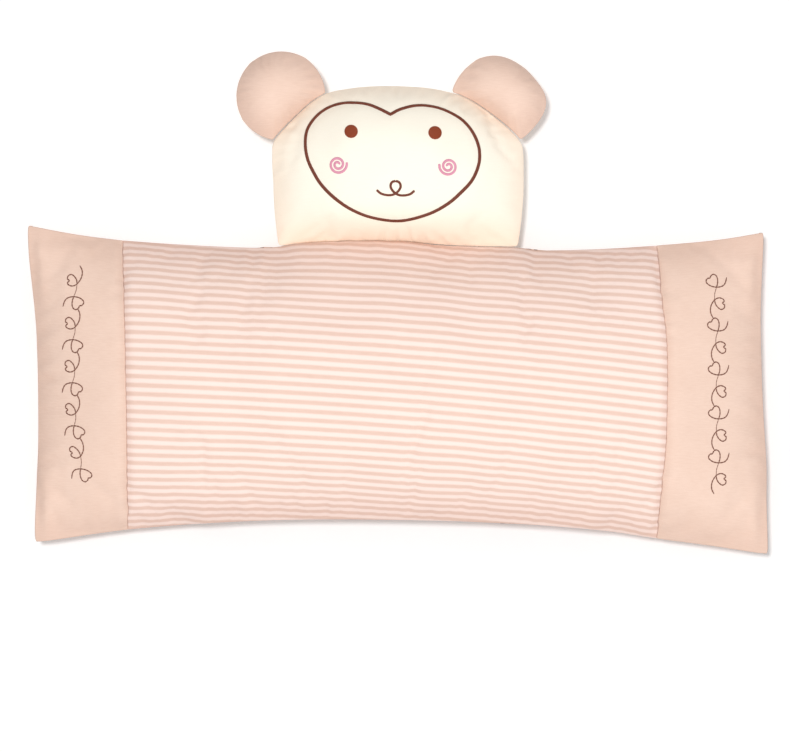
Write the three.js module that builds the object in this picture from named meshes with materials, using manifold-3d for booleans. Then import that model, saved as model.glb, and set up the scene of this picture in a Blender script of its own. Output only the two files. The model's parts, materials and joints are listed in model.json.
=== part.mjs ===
// A stuffed monkey pillow, lying face up. A cover of knit panels, closed by a zip in its lower
// edge, holds a padded inner case. A stuffed head with an embroidered face folds about the neck
// seam, and two stuffed ears fold about their own seams. Millimetres, +Z up. +Y points to the
// head, and the origin is under the middle of the outline's box, on the surface it lies on.
import Module from 'manifold-3d';
import * as THREE from 'three';
import { mergeVertices } from 'three/addons/utils/BufferGeometryUtils.js';

const wasm = await Module();
wasm.setup();

// Pillow outline: four corners stand out, and the edges between them are drawn in.
const PILLOW_LENGTH = 498;
const CORNER_Y = 107.5;
const HEAD_EDGE_Y = 94.7;
const ZIP_EDGE_Y = 89.7;
const SIDE_PULL = 3;
const EDGE_CURVE = 3;

// Thickness: every seam lies at one height, with a crown above it and a drop below.
const SEAM_Z = 16;
const CLOTH = 1;
const SEAM_GAP = 0.15;
const CROWN_X = 5;
const CROWN_Y = 2.4;
const PILLOW_RISE = 44;
const PILLOW_DROP = 30;
const PANEL_SEAM_U = 0.735;
const PANEL_GAP_U = 0.0006;

// Inner pad: a case with its own filling, inside the cover.
const PAD_X = 0.955;
const PAD_Y = 0.85;
const PAD_RISE = 42;
const PAD_DROP = 28;
const PAD_CLEARANCE = 1.4;

// Head, in the same axes as the pillow.
const HEAD_BASE_Y = 98.5;
const HEAD_TOP_Y = 206.3;
const HEAD_WIDE_Y = 150;
const HEAD_HALF_WIDTH = 86;
const HEAD_BASE_HALF_WIDTH = 81.5;
const HEAD_RISE = 33;
const HEAD_DROP = 26;

// Ears: a round pad cut straight where it meets the head's shoulder. The right one is sewn in
// deeper and nearer the top of the head. Reach is from the cut to the round's centre, and along
// is the centre's place on the cut, both in the ear's own axes.
const EAR_CUT_X = 69.88;
const EAR_CUT_Y = 188.55;
const EAR_RADIUS = 30.8;
const EAR_TURN = THREE.MathUtils.degToRad(42.45);
const EARS = [
  { side: 'left', handed: -1, reach: 14.7, along: 0 },
  { side: 'right', handed: 1, reach: 2, along: -7 },
];
const EAR_RISE = 13;
const EAR_DROP = 18;

// Filling stays inside its cover by a share of the outline and a gap in height.
const FILL_SHARE = 0.985;
const FILL_GAP = 0.4;

// Embroidery.
const THREAD_LIFT = 0.5;
const BACKING_DROP = 1.1;
const BACKING = 0.3;
const FACE_BACKING_SHARE = 0.8;
const FACE_X = -3.5;
const FACE_LINE = 2.2;
const EYE_RADIUS = 4.4;
const EYE_SPREAD = 28.4;
const EYE_Y = 173.8;
const CHEEK_RADIUS = 6.2;
const CHEEK_TURNS = 1.9;
const CHEEK_SPREAD = 37.4;
const CHEEK_Y = 151.2;
const CHEEK_THREAD = 1.2;
const MOUTH_Y = 132.3;
const MOUTH_THREAD = 1.7;
const VINE_X = 219.7;
const VINE_Y = 6.7;
const VINE_PERIOD = 29.6;
const VINE_UNITS = 5;
const VINE_THREAD = 0.8;

// Zip: two coil tapes across the lower edge's slot, along X.
const SLOT_HALF = 4.6;
const SLOT_FULL_X = 131;
const SLOT_END_X = 146;
const ZIP_HALF = 115;
const TAPE_HALF = 122;
const COIL_FACE_Y = -87.9;
const COIL_BACK_Y = -85.7;
const COIL_INNER_Z = 0.45;
const COIL_OUTER_Z = 2.1;
const TAPE_Y = -85.4;
const TAPE_LEG_Y = -79;
const TAPE_LEG_Z = 3.85;
const TAPE = 0.4;
const STOP_LENGTH = 1.8;
const STOP_GAP = 0.8;
const SLIDER_X = 110;
const SLIDER_LENGTH = 9;
const SLIDER_HALF_Z = 3.5;
const SLIDER_PLATE = 1.1;
const SLIDER_FACE_Y = -89.5;
const SLIDER_BACK_Y = -83.5;
const PIN_Y = -90.7;
const PIN_RADIUS = 0.4;
const PULL_LENGTH = 18;
const PULL_WIDTH = 5;
const PULL_PLATE = 1.2;

const HALF_LENGTH = PILLOW_LENGTH / 2;
const RIGHT_ANGLE = Math.PI / 2;

const finish = (color, roughness, metalness = 0) =>
  new THREE.MeshStandardMaterial({ color, roughness, metalness });
const TAN = finish(0xf6d5c2, 0.9);
const STRIPED = finish(0xf3e2d4, 0.9);
const CREAM = finish(0xfffdf0, 0.9);
const WHITE = finish(0xf4f1ea, 0.95);
const BROWN = finish(0x6e3728, 0.6);
const PINK = finish(0xf09ab4, 0.55);
const ZIP_TAPE = finish(0xead0ba, 0.8);
const NYLON = finish(0xe2c4aa, 0.4);
const METAL = finish(0xb9b3aa, 0.35, 0.9);

// --- Solids from geometry -----------------------------------------------------------------

/** A manifold solid from a closed geometry. */
function solidOf(geometry) {
  const bare = geometry.index ? geometry.toNonIndexed() : geometry.clone();
  bare.deleteAttribute('normal');
  bare.deleteAttribute('uv');
  const merged = mergeVertices(bare, 1e-4);
  return new wasm.Manifold(new wasm.Mesh({
    numProp: 3,
    vertProperties: new Float32Array(merged.attributes.position.array),
    triVerts: new Uint32Array(merged.index.array),
  }));
}

/** The geometry of a manifold solid. */
function geometryOf(solid) {
  const { vertProperties, triVerts } = solid.getMesh();
  const geometry = new THREE.BufferGeometry();
  geometry.setAttribute('position', new THREE.BufferAttribute(vertProperties, 3));
  geometry.setIndex(new THREE.BufferAttribute(triVerts, 1));
  geometry.computeVertexNormals();
  return geometry;
}

/** One geometry from several that touch or cross. */
function joined(geometries) {
  return geometryOf(geometries.map(solidOf).reduce((whole, next) => whole.add(next)));
}

/** A box between two corners. */
function boxBetween([x0, y0, z0], [x1, y1, z1]) {
  const box = new THREE.BoxGeometry(x1 - x0, y1 - y0, z1 - z0);
  return box.translate((x0 + x1) / 2, (y0 + y1) / 2, (z0 + z1) / 2);
}

// --- Flat nets that are lifted into cloth and filling ---------------------------------------

/** Adds the two triangles of a cell whose corners run anticlockwise. */
function addCell(triangles, a, b, c, d) {
  triangles.push(a, b, c, a, c, d);
}

/** A net over part of the pillow's outline, finer near its edges. Shares scale it inwards. */
function pillowNet(fromU, toU, columns, rows, shareX = 1, shareY = 1) {
  const points = [];
  for (let row = 0; row <= rows; row++) {
    const v = Math.sin(THREE.MathUtils.lerp(-RIGHT_ANGLE, RIGHT_ANGLE, row / rows));
    for (let column = 0; column <= columns; column++) {
      const turn = THREE.MathUtils.lerp(Math.asin(fromU), Math.asin(toU), column / columns);
      const u = Math.sin(turn);
      points.push([shareX * u * edgeX(v), shareY * v * edgeY(u, v)]);
    }
  }
  const at = (column, row) => row * (columns + 1) + column;
  const triangles = [];
  for (let row = 0; row < rows; row++) {
    for (let column = 0; column < columns; column++) {
      addCell(triangles, at(column, row), at(column + 1, row),
        at(column + 1, row + 1), at(column, row + 1));
    }
  }
  const rim = [];
  for (let column = 0; column < columns; column++) rim.push(at(column, 0));
  for (let row = 0; row < rows; row++) rim.push(at(columns, row));
  for (let column = columns; column > 0; column--) rim.push(at(column, rows));
  for (let row = rows; row > 0; row--) rim.push(at(0, row));
  return { points, triangles, rim };
}

/** A net of rings inside an anticlockwise outline, finer near the edge. */
function ringNet(outline, centre, rings, share = 1) {
  const count = outline.length;
  const points = [[centre.x, centre.y]];
  const triangles = [];
  for (let ring = 1; ring <= rings; ring++) {
    const reach = share * Math.sin(RIGHT_ANGLE * ring / rings);
    for (const corner of outline) {
      points.push([
        centre.x + reach * (corner.x - centre.x),
        centre.y + reach * (corner.y - centre.y),
      ]);
    }
  }
  const at = (ring, index) => 1 + (ring - 1) * count + (index % count);
  for (let index = 0; index < count; index++) {
    triangles.push(0, at(1, index), at(1, index + 1));
    for (let ring = 1; ring < rings; ring++) {
      addCell(triangles, at(ring, index), at(ring + 1, index),
        at(ring + 1, index + 1), at(ring, index + 1));
    }
  }
  const rim = outline.map((_, index) => at(rings, index));
  return { points, triangles, rim };
}

/** The closed solid between two heights over a net. */
function solidBetween(net, top, bottom) {
  const { points, triangles, rim } = net;
  const count = points.length;
  const corners = [
    ...points.flatMap(([x, y]) => [x, y, top(x, y)]),
    ...points.flatMap(([x, y]) => [x, y, bottom(x, y)]),
  ];
  const faces = [...triangles];
  for (let i = 0; i < triangles.length; i += 3) {
    faces.push(count + triangles[i], count + triangles[i + 2], count + triangles[i + 1]);
  }
  rim.forEach((a, index) => {
    const b = rim[(index + 1) % rim.length];
    addCell(faces, count + a, count + b, b, a);
  });
  const geometry = new THREE.BufferGeometry();
  geometry.setAttribute('position', new THREE.Float32BufferAttribute(corners, 3));
  geometry.setIndex(faces);
  geometry.computeVertexNormals();
  return geometry;
}

// --- Heights --------------------------------------------------------------------------------

/** Half the pillow's length at a share v of its half width. */
function edgeX(v) {
  return HALF_LENGTH - SIDE_PULL * (1 - v * v);
}

/** Half the pillow's width at a share u of its half length, on the side that v is on. */
function edgeY(u, v) {
  const middle = v > 0 ? HEAD_EDGE_Y : ZIP_EDGE_Y;
  return middle + (CORNER_Y - middle) * Math.abs(u) ** EDGE_CURVE;
}

/** From 0 at the pillow's outline to 1 at its middle. */
function pillowCrown(x, y) {
  let u = x / HALF_LENGTH;
  let v = 0;
  for (let pass = 0; pass < 8; pass++) {
    v = y / edgeY(u, y);
    u = x / edgeX(v);
  }
  return Math.max(0, 1 - Math.abs(u) ** CROWN_X) * Math.max(0, 1 - Math.abs(v) ** CROWN_Y);
}

/** A function from 0 at an outline to 1 at its centre. */
function roundCrown(outline, centre) {
  return (x, y) => {
    const way = new THREE.Vector2(x - centre.x, y - centre.y);
    let share = 0;
    outline.forEach((from, index) => {
      const to = outline[(index + 1) % outline.length];
      const side = to.clone().sub(from);
      const start = from.clone().sub(centre);
      const spread = way.cross(side);
      const reach = start.cross(side) / spread;
      const along = start.cross(way) / spread;
      if (reach > 0 && along >= -1e-9 && along <= 1 + 1e-9) share = 1 / reach;
    });
    return Math.max(0, 1 - share ** CROWN_Y);
  };
}

/** How far the zip's slot holds the cover open at a point of its lower edge. */
function slotOpening(x, y) {
  const taper = (SLOT_END_X - Math.abs(x)) / (SLOT_END_X - SLOT_FULL_X);
  return y < 0 ? SLOT_HALF * THREE.MathUtils.clamp(taper, 0, 1) : 0;
}

const upper = (rise, crown, hold = () => 0) => (x, y) =>
  SEAM_Z + Math.max(SEAM_GAP + rise * crown(x, y), hold(x, y));
const lower = (drop, crown, floor = 0, hold = () => 0) => (x, y) =>
  Math.max(floor, SEAM_Z - CLOTH - Math.max(SEAM_GAP + drop * crown(x, y), hold(x, y)));
const raised = (height, by) => (x, y) => height(x, y) + by;

/** Cloth of even height over the height of its under face. */
const cloth = (net, height) => solidBetween(net, raised(height, CLOTH), height);

// --- Threads --------------------------------------------------------------------------------

/** A thread through flat points, laid on a height with a small lift. */
function thread(points, height, width, { steps, sides = 4, closed = false }) {
  const flat = new THREE.CatmullRomCurve3(points.map(([x, y]) => new THREE.Vector3(x, y, 0)),
    closed, 'centripetal');
  const places = flat.getSpacedPoints(steps).slice(0, closed ? steps : steps + 1);
  const laid = places.map(({ x, y }) =>
    new THREE.Vector3(x, y, height(x, y) + THREAD_LIFT + width / 2));
  const path = new THREE.CatmullRomCurve3(laid, closed, 'centripetal');
  if (closed) return new THREE.TubeGeometry(path, steps, width / 2, sides, true);
  const section = new THREE.Shape();
  section.absarc(0, 0, width / 2, 0, 2 * Math.PI);
  return new THREE.ExtrudeGeometry(section, {
    steps, extrudePath: path, bevelEnabled: false, curveSegments: sides / 2,
  });
}

const mirroredX = (points) => points.map(([x, y]) => [-x, y]);
const shifted = (points, dx, dy) => points.map(([x, y]) => [x + dx, y + dy]);

// --- Scene graph ----------------------------------------------------------------------------

const toy = new THREE.Group();
const earTop = EAR_CUT_Y + EARS[0].reach * Math.cos(EAR_TURN) + EAR_RADIUS;
toy.position.y = -(earTop - CORNER_Y) / 2;

function add(name, geometry, material, parent = toy) {
  const mesh = new THREE.Mesh(geometry, material);
  mesh.name = name;
  parent.add(mesh);
  return mesh;
}

// Pillow cover.
const coverTop = upper(PILLOW_RISE, pillowCrown, slotOpening);
const coverBottom = lower(PILLOW_DROP, pillowCrown, 0, slotOpening);

function buildCover() {
  const seam = PANEL_SEAM_U;
  const gap = PANEL_GAP_U;
  add('front_center_panel', cloth(pillowNet(gap - seam, seam - gap, 14, 12), coverTop), STRIPED);
  add('front_left_panel', cloth(pillowNet(-1, -seam - gap, 6, 12), coverTop), TAN);
  add('front_right_panel', cloth(pillowNet(seam + gap, 1, 6, 12), coverTop), TAN);
  add('back_panel', cloth(pillowNet(-1, 1, 18, 12), coverBottom), TAN);
}

// Inner pad.
function buildPad() {
  const crown = (x, y) => pillowCrown(x / PAD_X, y / PAD_Y);
  const net = pillowNet(-1, 1, 14, 8, PAD_X, PAD_Y);
  add('inner_case_front', cloth(net, upper(PAD_RISE, crown)), WHITE);
  add('inner_case_back', cloth(net, lower(PAD_DROP, crown, PAD_CLEARANCE)), WHITE);

  const [shareX, shareY] = [PAD_X * FILL_SHARE, PAD_Y * FILL_SHARE];
  const fillCrown = (x, y) => pillowCrown(x / shareX, y / shareY);
  add('pillow_filling', filling(pillowNet(-1, 1, 14, 8, shareX, shareY), fillCrown,
    PAD_RISE, PAD_DROP, PAD_CLEARANCE), WHITE);
}

/** Loose filling between two cloths, clear of both. */
function filling(net, crown, rise, drop, floor = 0, spare = 0) {
  const edge = SEAM_GAP;
  const top = (x, y) => SEAM_Z + edge + (rise - FILL_GAP - spare) * crown(x, y);
  const rest = floor + CLOTH + FILL_GAP;
  const bottom = (x, y) => Math.max(rest, SEAM_Z - edge - (drop - FILL_GAP) * crown(x, y));
  return solidBetween(net, top, bottom);
}

// Head and face.
function headOutline() {
  const shape = new THREE.Shape();
  const corner = 5;
  const shoulder = 37;
  shape.moveTo(0, HEAD_BASE_Y);
  shape.lineTo(HEAD_BASE_HALF_WIDTH - corner, HEAD_BASE_Y);
  shape.quadraticCurveTo(HEAD_BASE_HALF_WIDTH, HEAD_BASE_Y,
    HEAD_BASE_HALF_WIDTH, HEAD_BASE_Y + corner);
  shape.quadraticCurveTo(HEAD_HALF_WIDTH, (HEAD_BASE_Y + HEAD_WIDE_Y) / 2,
    HEAD_HALF_WIDTH, HEAD_WIDE_Y);
  shape.bezierCurveTo(HEAD_HALF_WIDTH, HEAD_WIDE_Y + shoulder, 52, HEAD_TOP_Y, 0, HEAD_TOP_Y);
  const half = shape.getSpacedPoints(17);
  const mirrored = half.slice(1, -1).reverse().map((point) => new THREE.Vector2(-point.x, point.y));
  return [...half, ...mirrored];
}

const headCentre = new THREE.Vector2(0, (HEAD_BASE_Y + HEAD_TOP_Y) / 2);
const headCrown = roundCrown(headOutline(), headCentre);
const headTop = raised(upper(HEAD_RISE, headCrown), CLOTH);

function buildHead() {
  const outline = headOutline();
  const net = ringNet(outline, headCentre, 5);
  add('head_front_panel', cloth(net, upper(HEAD_RISE, headCrown)), CREAM);
  add('head_back_panel', cloth(net, lower(HEAD_DROP, headCrown)), CREAM);

  const inner = outline.map((point) => point.clone().lerp(headCentre, 1 - FILL_SHARE));
  const backingSpare = 2 * BACKING_DROP + BACKING;
  add('head_filling', filling(ringNet(inner, headCentre, 5), roundCrown(inner, headCentre),
    HEAD_RISE, HEAD_DROP, 0, backingSpare), WHITE);
}

/** The heart-shaped face line, anticlockwise from its notch. */
function faceHeart() {
  const half = [
    [-9, 191.8], [-20, 193.6], [-34, 191], [-46, 184], [-54, 174], [-58.8, 162],
    [-58.3, 152], [-52.5, 141], [-43, 130.5], [-30, 121.5], [-15, 115.5],
  ];
  return [[0, 187], ...half, [0, 113.4], ...mirroredX(half).reverse()];
}

/** A cheek's spiral from near its middle outwards. */
function cheekSpiral(handed) {
  const points = [];
  const steps = 16;
  for (let i = 0; i <= steps; i++) {
    const turn = 2 * Math.PI * CHEEK_TURNS * i / steps;
    const radius = THREE.MathUtils.lerp(CHEEK_THREAD, CHEEK_RADIUS, i / steps);
    points.push([-handed * radius * Math.cos(turn), radius * Math.sin(turn - Math.PI)]);
  }
  return shifted(points, FACE_X + handed * CHEEK_SPREAD, CHEEK_Y);
}

function buildFace() {
  const heart = shifted(faceHeart(), FACE_X, 0);
  add('face_outline_embroidery',
    thread(heart, headTop, FACE_LINE, { steps: 48, sides: 4, closed: true }), BROWN);

  const under = raised(headTop, -CLOTH - BACKING_DROP);
  add('face_backing', solidBetween(ringNet(headOutline(), headCentre, 4, FACE_BACKING_SHARE),
    under, raised(under, -BACKING)), WHITE);

  for (const [side, handed] of [['left', -1], ['right', 1]]) {
    const eye = new THREE.Vector2(FACE_X + handed * EYE_SPREAD, EYE_Y);
    const round = new THREE.Path().absarc(eye.x, eye.y, EYE_RADIUS, 0, 2 * Math.PI);
    const disc = ringNet(round.getSpacedPoints(12).slice(0, -1), eye, 2);
    add(`eye_${side}`, solidBetween(disc, raised(headTop, 2 * THREAD_LIFT),
      raised(headTop, THREAD_LIFT / 2)), BROWN);
    add(`cheek_swirl_${side}`, thread(cheekSpiral(handed), headTop, CHEEK_THREAD,
      { steps: 26, sides: 4 }), PINK);
  }

  const half = [[-12.9, 2.2], [-9, 0], [-5, -1.2], [0, 0], [3.25, 5.2], [2.4, 7.8], [0, 8.4]];
  const centre = FACE_X + 1.7;
  const strand = (points) => thread(shifted(points, centre, MOUTH_Y), headTop, MOUTH_THREAD,
    { steps: 16, sides: 4 });
  add('nose_mouth_embroidery', joined([strand(half), strand(mirroredX(half))]), BROWN);
}

// Ears.
function buildEar({ side, handed, reach, along }) {
  const ear = new THREE.Group();
  ear.position.set(handed * (EAR_CUT_X + along * Math.cos(EAR_TURN)),
    EAR_CUT_Y - along * Math.sin(EAR_TURN), 0);
  ear.rotation.z = -handed * EAR_TURN;
  toy.add(ear);

  const low = -Math.asin(reach / EAR_RADIUS);
  const shape = new THREE.Shape();
  shape.absarc(0, reach, EAR_RADIUS, low, Math.PI - low);
  const outline = shape.getSpacedPoints(15);
  const half = outline[0].x;
  outline.push(new THREE.Vector2(-half / 3, 0), new THREE.Vector2(half / 3, 0));
  const centre = new THREE.Vector2(0, (reach + EAR_RADIUS) / 2);
  const crown = roundCrown(outline, centre);
  const net = ringNet(outline, centre, 3);
  add(`ear_${side}_front`, cloth(net, upper(EAR_RISE, crown)), TAN, ear);
  add(`ear_${side}_back`, cloth(net, lower(EAR_DROP, crown)), TAN, ear);

  const inner = outline.map((point) => point.clone().lerp(centre, 1 - FILL_SHARE));
  add(`ear_${side}_filling`, filling(ringNet(inner, centre, 3), roundCrown(inner, centre),
    EAR_RISE, EAR_DROP), WHITE, ear);
}

// Heart vines on the end panels.
const VINE_CURL = [
  [2.3, 20.3], [3.1, 16.4], [1.8, 11.1], [-0.3, 8.5], [-3.4, 7.5], [-6.3, 9],
  [-4.7, 10.6], [-6.5, 12.7], [-3.9, 14.7], [0.2, 9.4],
];
const VINE_STEM = [[0.2, 9.4], [0.8, 5], [0, 0]];
const VINE_LEAF = [
  [-7.3, -6.7], [-4.4, -1.6], [0, 0], [3.6, -0.9], [6.3, -2.6], [6.5, -4.6], [4.4, -6.7],
  [2.3, -9.3], [-1.1, -6.2], [0, 0],
];
// Where the strands of a unit meet.
const VINE_KNOTS = [[0, 0], [0.2, 9.4], [2.3, -9.3]];

/** The lump of thread that ties crossing strands. */
function knot([x, y], height) {
  const lump = new THREE.OctahedronGeometry(VINE_THREAD);
  return lump.translate(x, y, height(x, y) + THREAD_LIFT + VINE_THREAD / 2);
}

function buildVine(side, handed) {
  const top = VINE_PERIOD * (VINE_UNITS - 1) / 2 - 4;
  const surface = raised(coverTop, CLOTH);
  const place = (points, unit) => points.map(([x, y]) => [
    handed * (VINE_X - x), VINE_Y - handed * (y + top - unit * VINE_PERIOD),
  ]);
  const strands = [];
  for (let unit = 0; unit < VINE_UNITS; unit++) {
    for (const [points, steps] of [[VINE_CURL, 13], [VINE_STEM, 2], [VINE_LEAF, 13]]) {
      strands.push(thread(place(points, unit), surface, VINE_THREAD, { steps, sides: 4 }));
    }
    strands.push(...place(VINE_KNOTS, unit).map((point) => knot(point, surface)));
  }
  add(`vine_embroidery_${side}`, joined(strands), BROWN);

  const width = 10;
  const half = VINE_PERIOD * VINE_UNITS / 2;
  const under = raised(coverTop, -BACKING_DROP);
  const net = stripNet([handed * VINE_X - width, VINE_Y - half],
    [handed * VINE_X + width, VINE_Y + half], 2, 14);
  add(`vine_backing_${side}`, solidBetween(net, under, raised(under, -BACKING)), WHITE);
}

/** A net over a plain rectangle. */
function stripNet([x0, y0], [x1, y1], columns, rows) {
  const plane = new THREE.PlaneGeometry(x1 - x0, y1 - y0, columns, rows);
  plane.translate((x0 + x1) / 2, (y0 + y1) / 2, 0);
  const places = plane.attributes.position;
  const points = Array.from({ length: places.count }, (_, i) => [places.getX(i), places.getY(i)]);
  const at = (column, row) => row * (columns + 1) + column;
  const rim = [];
  for (let row = 0; row < rows; row++) rim.push(at(0, row));
  for (let column = 0; column < columns; column++) rim.push(at(column, rows));
  for (let row = rows; row > 0; row--) rim.push(at(columns, row));
  for (let column = columns; column > 0; column--) rim.push(at(column, 0));
  return { points, triangles: [...plane.index.array], rim };
}

// Zip.
function buildZipSide(side, up) {
  const span = (low, high) => (up > 0 ? [low, high] : [-high, -low]).map((z) => SEAM_Z + z);
  const [tapeLow, tapeHigh] = span(COIL_INNER_Z, TAPE_LEG_Z + TAPE);
  const [legLow, legHigh] = span(TAPE_LEG_Z, TAPE_LEG_Z + TAPE);
  add(`zip_tape_${side}`, joined([
    boxBetween([-TAPE_HALF, TAPE_Y, tapeLow], [TAPE_HALF, TAPE_Y + TAPE, tapeHigh]),
    boxBetween([-TAPE_HALF, TAPE_Y, legLow], [TAPE_HALF, TAPE_LEG_Y, legHigh]),
  ]), ZIP_TAPE);

  const [coilLow, coilHigh] = span(COIL_INNER_Z, COIL_OUTER_Z);
  add(`zip_coil_${side}`, boxBetween([-ZIP_HALF, COIL_FACE_Y, coilLow],
    [ZIP_HALF, COIL_BACK_Y, coilHigh]), NYLON);

  const stop = ZIP_HALF + STOP_GAP;
  add(`zip_top_stop_${side}`, boxBetween([stop, COIL_FACE_Y, coilLow],
    [stop + STOP_LENGTH, COIL_BACK_Y, coilHigh]), METAL);
}

function buildZipSlider() {
  const half = SLIDER_LENGTH / 2;
  const plate = (y) => boxBetween([-half, y, -SLIDER_HALF_Z], [half, y + SLIDER_PLATE, SLIDER_HALF_Z]);
  const post = 0.25;
  const inset = 0.5;
  const lug = 1.2;
  const lugGap = 1.3;
  const lugThick = 0.8;
  const ear = (z) => boxBetween([-lug, PIN_Y - lug / 2, z], [lug, SLIDER_FACE_Y + inset, z + lugThick]);
  const pin = new THREE.CylinderGeometry(PIN_RADIUS, PIN_RADIUS, 2 * lugGap + lugThick, 10);
  pin.rotateX(RIGHT_ANGLE).translate(0, PIN_Y, 0);
  const slider = add('zip_slider_body', joined([
    plate(SLIDER_FACE_Y),
    plate(SLIDER_BACK_Y - SLIDER_PLATE),
    boxBetween([-lug, SLIDER_FACE_Y + inset, -post], [lug, SLIDER_BACK_Y - inset, post]),
    ear(lugGap), ear(-lugGap - lugThick), pin,
  ]), METAL);
  slider.position.set(SLIDER_X, 0, SEAM_Z);
}

function buildZipPull() {
  const eyeRadius = 0.95;
  const eyeHole = 0.65;
  const tongue = 2;
  const neck = 3;
  const outline = new THREE.Shape();
  outline.moveTo(-neck, -PULL_WIDTH / 2);
  outline.lineTo(-neck, PULL_WIDTH / 2);
  outline.lineTo(-PULL_LENGTH + PULL_WIDTH / 2, PULL_WIDTH / 2);
  outline.absarc(-PULL_LENGTH + PULL_WIDTH / 2, 0, PULL_WIDTH / 2, RIGHT_ANGLE, 3 * RIGHT_ANGLE);
  const tab = new THREE.ExtrudeGeometry(outline,
    { depth: PULL_PLATE, bevelEnabled: false, curveSegments: 8 });
  tab.translate(0, 0, -PULL_PLATE / 2).rotateX(RIGHT_ANGLE);
  const eye = new THREE.CylinderGeometry(eyeRadius, eyeRadius, tongue, 14).rotateX(RIGHT_ANGLE);
  const hole = new THREE.CylinderGeometry(eyeHole, eyeHole, 2 * tongue, 14).rotateX(RIGHT_ANGLE);
  const link = boxBetween([-neck - 1, -PULL_PLATE / 2, -tongue / 2], [0, PULL_PLATE / 2, tongue / 2]);
  const whole = solidOf(tab).add(solidOf(eye)).add(solidOf(link)).subtract(solidOf(hole));
  const pull = add('zip_pull', geometryOf(whole), METAL);
  pull.position.set(SLIDER_X, PIN_Y, SEAM_Z);
}

buildCover();
buildPad();
buildHead();
buildFace();
EARS.forEach(buildEar);
buildVine('left', -1);
buildVine('right', 1);
buildZipSide('upper', 1);
buildZipSide('lower', -1);
add('zip_bottom_stop', boxBetween(
  [-ZIP_HALF - STOP_GAP - STOP_LENGTH, COIL_FACE_Y, SEAM_Z - COIL_OUTER_Z],
  [-ZIP_HALF - STOP_GAP, COIL_BACK_Y, SEAM_Z + COIL_OUTER_Z]), METAL);
buildZipSlider();
buildZipPull();

const part = new THREE.Group();
part.add(toy);
export default part;
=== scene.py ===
import json
import logging
import math
from dataclasses import dataclass, field
from enum import Enum

import bpy
import numpy as np
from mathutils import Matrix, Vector
from mathutils.bvhtree import BVHTree


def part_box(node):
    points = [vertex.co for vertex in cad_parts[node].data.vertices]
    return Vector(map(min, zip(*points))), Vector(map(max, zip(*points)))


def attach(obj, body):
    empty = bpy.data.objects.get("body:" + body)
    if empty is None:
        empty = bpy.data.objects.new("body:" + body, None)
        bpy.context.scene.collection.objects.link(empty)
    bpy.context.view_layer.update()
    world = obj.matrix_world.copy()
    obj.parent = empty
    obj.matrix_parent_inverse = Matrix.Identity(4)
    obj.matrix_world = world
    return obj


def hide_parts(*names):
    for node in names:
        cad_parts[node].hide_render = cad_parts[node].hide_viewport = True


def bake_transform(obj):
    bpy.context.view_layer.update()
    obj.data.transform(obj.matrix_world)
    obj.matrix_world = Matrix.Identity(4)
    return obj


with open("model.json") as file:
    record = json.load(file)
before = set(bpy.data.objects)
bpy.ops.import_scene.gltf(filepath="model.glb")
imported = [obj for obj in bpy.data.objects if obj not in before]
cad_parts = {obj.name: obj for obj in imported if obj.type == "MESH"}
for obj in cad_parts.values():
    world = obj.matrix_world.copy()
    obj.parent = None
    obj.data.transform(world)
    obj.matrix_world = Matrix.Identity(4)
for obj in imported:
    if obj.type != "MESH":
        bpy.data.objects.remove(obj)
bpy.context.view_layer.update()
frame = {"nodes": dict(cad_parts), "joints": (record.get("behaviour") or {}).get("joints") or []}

Array = np.ndarray
Piece = bpy.types.Object
Socket = bpy.types.NodeSocket
MM = 0.001
CLOTH = 0.5
THINNEST = 0.03
# Per-vertex weight of the painted shade near seams, rims and the head's neck.
PAINTED_SHADE_WEIGHT = "near_seam"
FULL_TURN = 2 * math.pi
HEAD_CENTRE = (0.0, 151.0)

logging.basicConfig(level=logging.INFO, format="%(message)s")
log = logging.getLogger("monkey_pillow")


class Side(Enum):
    """Which half of a stuffed form a panel covers. The value is the way its outside faces in Z."""

    FRONT = 1
    BACK = -1


class Hand(Enum):
    """Left or right as the object lies face up. The value is the sign of its X."""

    LEFT = -1
    RIGHT = 1

    @property
    def word(self) -> str:
        """The hand's name as node names spell it."""
        return self.name.lower()


class Edge(Enum):
    """How a panel's edge turns in: level at the rim, or down beside a neighbour."""

    RIM = "rim"
    SEAM = "seam"


# --- Where things are ---


@dataclass(frozen=True)
class Layout:
    """The frame's measures, in millimetres about the pillow's centre, with Z from the floor."""

    centre_y: float
    half_length: float
    half_width: float
    seam_z: float
    neck_y: float

    @classmethod
    def from_frame(cls) -> "Layout":
        """Reads the pillow's box and the neck joint.

        Returns:
            The layout that every piece is placed by.
        """
        low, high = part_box("back_panel")
        centre = (low.y + high.y) / 2
        neck = joint_named("head_fold")["pos_m"]
        return cls(
            centre_y=centre / MM,
            half_length=high.x / MM,
            half_width=(high.y - centre) / MM,
            seam_z=neck[2] / MM,
            neck_y=neck[1] / MM - centre / MM,
        )

    def to_row(self, points: Array) -> Array:
        """Turns local millimetres into metres in the shared frame.

        Args:
            points: an array whose last axis is x, y, z.

        Returns:
            The same points in metres.
        """
        return (np.asarray(points, float) + [0.0, self.centre_y, 0.0]) * MM

    def local(self, point: Vector) -> Array:
        """One point of the shared frame, in local millimetres."""
        return np.array(point) / MM - [0.0, self.centre_y, 0.0]

    def box(self, node: str) -> tuple[Array, Array]:
        """A CAD node's lowest and highest corners in local millimetres."""
        low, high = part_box(node)
        return self.local(low), self.local(high)

    def middle(self, node: str) -> Array:
        """The middle of a CAD node's box in local millimetres."""
        low, high = self.box(node)
        return (low + high) / 2


def joint_named(name: str) -> dict:
    """The record's joint of that name."""
    return next(joint for joint in frame["joints"] if joint["name"] == name)


LAYOUT = Layout.from_frame()


# --- Curves and waves ---


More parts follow.
